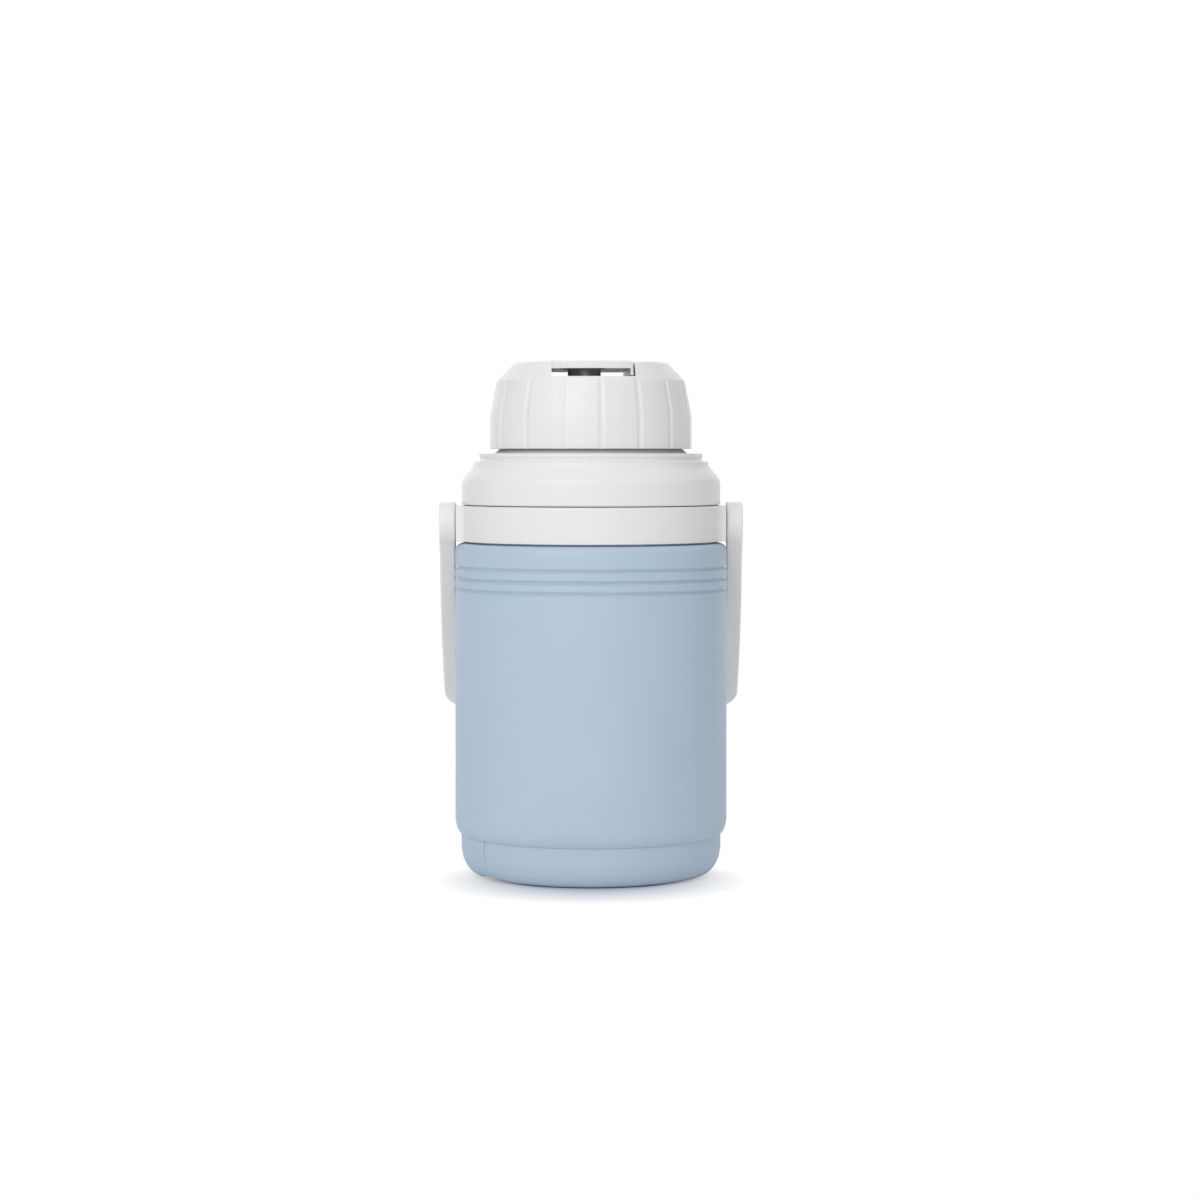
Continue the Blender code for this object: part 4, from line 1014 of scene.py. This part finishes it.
def pocket_cutter():
    """The pocket in which the strap's knuckle turns, opening outwards at its top."""
    left, right = SLOT_RIGHT - 0.001, HINGE_X + POCKET_RADIUS
    bottom = HINGE_HEIGHT - POCKET_RADIUS
    eased = right + POCKET_EASE
    outline = [(left, bottom), (right, bottom), (right, CAP_TOP - POCKET_EASE)]
    outline += [(eased, CAP_TOP), (eased, CUT_TOP), (left, CUT_TOP)]
    half = KNUCKLE_HALF_WIDTH + GAP
    return prism_y("pocket", outline, -half, half)


def make_cap():
    cap = turned("cap_dome", dome_outline(True), "white", shape=fluted, angles=dome_angles())
    for make_cutter in (cap_cavity, slot_cutter, strip_cutter, pocket_cutter):
        cut(cap, make_cutter())
    ease_edges(cap, 0.00018)
    bore = HINGE_PIN_RADIUS + RUNNING_GAP
    cut(cap, rod("hole", bore, HINGE_PIN_LOW.y - GAP, 0.045, "Y", HINGE_PLACE, steps=40))
    low, high = SLOT_FLOOR - 0.0064, SLOT_FLOOR + 0.0056
    cut(cap, rod("hole", SPOUT_RADIUS + GAP, low, high, centre=(SPOUT_X, 0, 0)))
    finish_on_cap(cap, "cap", "cap_shell")


def make_spout():
    flange = (SPOUT_HIGH.x - SPOUT_LOW.x) / 2
    top, bottom = SPOUT_HIGH.z, SPOUT_LOW.z
    lip, lip_height = SPOUT_LIP
    flange_bottom, flange_top = SLOT_FLOOR - 0.0048, SLOT_FLOOR - 0.0026
    outline = rounded(
        (SPOUT_BORE, bottom, 0.0004),
        (SPOUT_STEM_RADIUS, bottom, 0.0006),
        (SPOUT_STEM_RADIUS, flange_bottom),
        (flange, flange_bottom, 0.0004),
        (flange, flange_top, 0.0004),
        (SPOUT_RADIUS, flange_top),
        (SPOUT_RADIUS, top - lip_height, 0.0005),
        (lip, top, 0.0005),
        (SPOUT_BORE, top, 0.0004),
    )
    spout = turned("spout", outline, "spout", SMALL_STEPS, "Z", (SPOUT_X, 0.0, 0.0))
    finish_on_cap(spout, "cap", "drink_spout")


def strap_hollow(left, leg_left):
    """The space under the strap's plate, inside its walls and left of its leg."""
    low = SLOT_FLOOR - 0.0044
    outline = [(0.0, low), (0.0430, low)]
    outline += [(0.0381 - STRAP_WALL, STRAP_PLATE_BOTTOM), (0.0, STRAP_PLATE_BOTTOM)]
    hollow = turned("hollow", outline, steps=180)
    limit_low = (left + STRAP_END_WALL, -CUT_REACH, low - 0.010)
    combine(hollow, "INTERSECT", box("limits", limit_low, (leg_left, CUT_REACH, CUT_TOP)))
    return hollow


def make_strap():
    """The bridge over the slot, cut from the same dome, hollow below, with its hinge knuckle at the right."""
    left, leg_bottom = SLOT_LEFT + STRAP_END_GAP, STRAP_LOW.z
    leg_left = STRAP_RIGHT - STRAP_LEG_WIDTH
    strap = turned("strap", dome_outline(False), "thin_white", 320)
    slab = box("slab", (left, -CUT_REACH, leg_bottom), (STRAP_RIGHT, CUT_REACH, CUT_TOP))
    combine(strap, "INTERSECT", slab)
    window_low = (left - 0.005, -CUT_REACH, SLOT_FLOOR - 0.0044)
    cut(strap, box("window", window_low, (leg_left, CUT_REACH, STRAP_LIP_BOTTOM)))
    cut(strap, strap_hollow(left, leg_left))
    half, web_half = KNUCKLE_HALF_WIDTH, KNUCKLE_HALF_WIDTH - 0.0001
    web_low = (STRAP_RIGHT - 0.0006, -web_half, HINGE_HEIGHT + WEB_HEIGHTS[0])
    web_high = (HINGE_X, web_half, HINGE_HEIGHT + WEB_HEIGHTS[1])
    knuckle = rod("knuckle", KNUCKLE_RADIUS, -half, half, "Y", HINGE_PLACE, steps=48)
    combine(strap, "UNION", knuckle, box("web", web_low, web_high))
    spout = (SPOUT_X, 0.0, 0.0)
    inner, outer, bottom = STOPPER_RING
    into = STRAP_PLATE_BOTTOM + 0.0004  # a clear overlap with the plate
    outline = [(inner, bottom), (outer, bottom), (outer, into), (inner, into)]
    ring = turned("ring", outline, None, 72, "Z", spout)
    stub = rod("stub", STOPPER_STUB_RADIUS, STOPPER_LOW.z + 0.0016, into, centre=spout, steps=40)
    combine(strap, "UNION", ring, stub)
    ease_edges(strap, 0.00016)
    bore = rod("bore", HINGE_PIN_RADIUS + RUNNING_GAP, -0.020, 0.020, "Y", HINGE_PLACE, steps=40)
    cut(strap, bore)
    finish_on_cap(strap, "strap", "flip_strap")


def make_stopper():
    centre = ((STOPPER_LOW.x + STOPPER_HIGH.x) / 2, 0.0, 0.0)
    wide = (STOPPER_HIGH.x - STOPPER_LOW.x) / 2
    bottom, top = STOPPER_LOW.z, STOPPER_HIGH.z
    socket, socket_bottom = 0.0023, bottom + 0.0013
    outline = rounded(
        (0.0, bottom),
        (0.0042, bottom, 0.0008),
        (wide, top, 0.0002),
        (socket, top, 0.0002),
        (socket, socket_bottom, 0.0002),
        (0.0, socket_bottom),
    )
    stopper = turned("stopper", outline, "plug", SMALL_STEPS, "Z", centre)
    finish_on_cap(stopper, "strap", "spout_plug")


def make_hinge_pin():
    radius, low, high = HINGE_PIN_RADIUS, HINGE_PIN_LOW.y, HINGE_PIN_HIGH.y
    outline = rounded((0.0, low), (radius, low, 0.0003), (radius, high, 0.0003), (0.0, high))
    pin = turned("hinge_pin", outline, "steel", 48, "Y", HINGE_PLACE)
    finish_on_cap(pin, "cap", "strap_hinge_pin")


def dress_kept_nodes():
    """The hidden pieces stay as the CAD made them and get their own materials."""
    looks = {
        "cap_liner": ("liner", "liner_plastic"),
        "inner_liner": ("liner", "liner_plastic"),
        "cap_foam": ("foam", "foam"),
        "insulation_foam": ("foam", "foam"),
        "cap_gasket": ("seal", "seal_rubber"),
        "spout_seal": ("seal", "seal_rubber"),
        "shoulder_gasket": ("seal", "seal_rubber"),
    }
    for node, (look, slot) in looks.items():
        kept = frame["nodes"][node]
        kept.data.materials.clear()
        kept.data.materials.append(LOOKS[look])


# ---- Stage ----

CAMERA_PLACE = Vector((0.0, -1.42, 0.209))
CAMERA_LENS = 86.1
CAMERA_PITCH = math.radians(2.99)
CAMERA_YAW = math.radians(0.18)
AMBIENT_FRONT, AMBIENT_SIDE, AMBIENT_BACK, AMBIENT_TOP = 0.31, 0.11, 1.75, 0.71
REFLECTOR_DIRECTION = (0.10, -0.995, 0.0)  # of a small bright patch behind the camera
REFLECTOR_STRENGTH = 1.4
REFLECTOR_EDGE = (0.965, 0.985)  # cosines between which the patch fades in
BACKDROP_STRENGTH = 1.05
WHITE = (1.0, 1.0, 1.0, 1.0)
# painted shade: the floor's colour near the jug, darker and bluer than the plain floor, deepens the rendered
# shadow and stands in for blue light bounced off the body
FLOOR_SHADE_TONE = (0.60, 0.645, 0.735)
SHADE_CENTRE = (0.0, -0.030, 0.0)
SHADE_FADE = (0.034, 0.076)  # distances from that centre between which the floor burns out to white
FLOOR_COLOUR = (0.945, 0.94, 0.935)  # what lights the jug from below
FLOOR_HALF = 3.0
KEY_PLACE = (-0.85, -1.9, 1.2)
KEY_TARGET = (0.0, 0.0, 0.12)
KEY_SIZE = (1.2, 1.2)
KEY_POWER = 16.9


def make_world():
    """White behind the object for the camera. The light on it depends on its direction."""
    world = bpy.data.worlds.new("studio")
    bpy.context.scene.world = world
    world.use_nodes = True
    nodes = world.node_tree.nodes
    place = add_node(nodes, "TexCoord").outputs["Generated"]
    direction = add_node(nodes, "SeparateXYZ", Vector=place).outputs
    toward = add_node(nodes, "VectorMath", "DOT_PRODUCT", Vector=place)
    toward.inputs[1].default_value = REFLECTOR_DIRECTION
    strength = spread(nodes, direction["Y"], AMBIENT_FRONT, AMBIENT_SIDE, (-0.10, 0.15))
    for part in (
        spread(nodes, direction["Y"], 0.0, AMBIENT_BACK - AMBIENT_SIDE, (0.65, 0.90)),
        spread(nodes, direction["Z"], 0.0, AMBIENT_TOP, (0.35, 0.75)),
        spread(nodes, toward.outputs["Value"], 0.0, REFLECTOR_STRENGTH, REFLECTOR_EDGE),
    ):
        total = add_node(nodes, "Math", "ADD", Value=strength)
        world.node_tree.links.new(part, total.inputs[1])
        strength = total.outputs[0]
    ambient = set_inputs(nodes["Background"], Color=WHITE, Strength=strength)
    backdrop = add_node(nodes, "Background", Color=WHITE, Strength=BACKDROP_STRENGTH)
    camera_ray = add_node(nodes, "LightPath").outputs["Is Camera Ray"]
    mix = mix_shader(nodes, camera_ray, ambient.outputs[0], backdrop.outputs[0])
    set_inputs(nodes["World Output"], Surface=mix)


def make_floor():
    """A pale floor that the camera sees burnt out to white except where the jug shades it; there the rendered
    shade falls on a floor painted darker and bluer.
    """
    half = FLOOR_HALF
    points = [(-half, -half, 0.0), (half, -half, 0.0), (half, half, 0.0), (-half, half, 0.0)]
    floor = add_mesh("floor", points, [(0, 1, 2, 3)])
    floor.location.z = -0.0002
    material = bpy.data.materials.new("studio_floor")
    material.use_nodes = True
    nodes = material.node_tree.nodes
    nodes.remove(nodes["Principled BSDF"])
    plain = add_node(nodes, "BsdfDiffuse", Color=(*FLOOR_COLOUR, 1.0))
    # painted shade tone of the floor near the jug, seen only by the camera
    shaded = add_node(nodes, "BsdfDiffuse", Color=(*FLOOR_SHADE_TONE, 1.0))
    white = add_node(nodes, "Emission")
    place = add_node(nodes, "TexCoord").outputs["Object"]
    distance = add_node(nodes, "VectorMath", "DISTANCE", Vector=place)
    distance.inputs[1].default_value = SHADE_CENTRE
    far = spread(nodes, distance.outputs["Value"], 0.0, 1.0, SHADE_FADE)
    seen = mix_shader(nodes, far, shaded.outputs["BSDF"], white.outputs["Emission"])
    camera_ray = add_node(nodes, "LightPath").outputs["Is Camera Ray"]
    mix = mix_shader(nodes, camera_ray, plain.outputs["BSDF"], seen)
    set_inputs(nodes["Material Output"], Surface=mix)
    floor.data.materials.append(material)


def add_light(name, place, target, size, power):
    data = bpy.data.lights.new(name, "AREA")
    data.shape = "RECTANGLE"
    data.size, data.size_y = size
    data.energy = power
    light = bpy.data.objects.new(name, data)
    light.location = place
    light.rotation_euler = (Vector(target) - Vector(place)).to_track_quat("-Z", "Y").to_euler()
    bpy.context.scene.collection.objects.link(light)


def make_camera():
    data = bpy.data.cameras.new("camera")
    data.lens = CAMERA_LENS
    camera = bpy.data.objects.new("camera", data)
    camera.location = CAMERA_PLACE
    camera.rotation_euler = (math.pi / 2 - CAMERA_PITCH, 0.0, -CAMERA_YAW)
    bpy.context.scene.collection.objects.link(camera)
    bpy.context.scene.camera = camera


make_body()
make_base()
make_fill_plug()
make_collar()
make_pins()
make_handle()
make_shoulder()
make_cap()
make_spout()
make_strap()
make_stopper()
make_hinge_pin()
dress_kept_nodes()

make_world()
make_floor()
add_light("key", KEY_PLACE, KEY_TARGET, KEY_SIZE, KEY_POWER)
make_camera()
bpy.context.scene.view_settings.view_transform = "Standard"

bpy.context.view_layer.update()
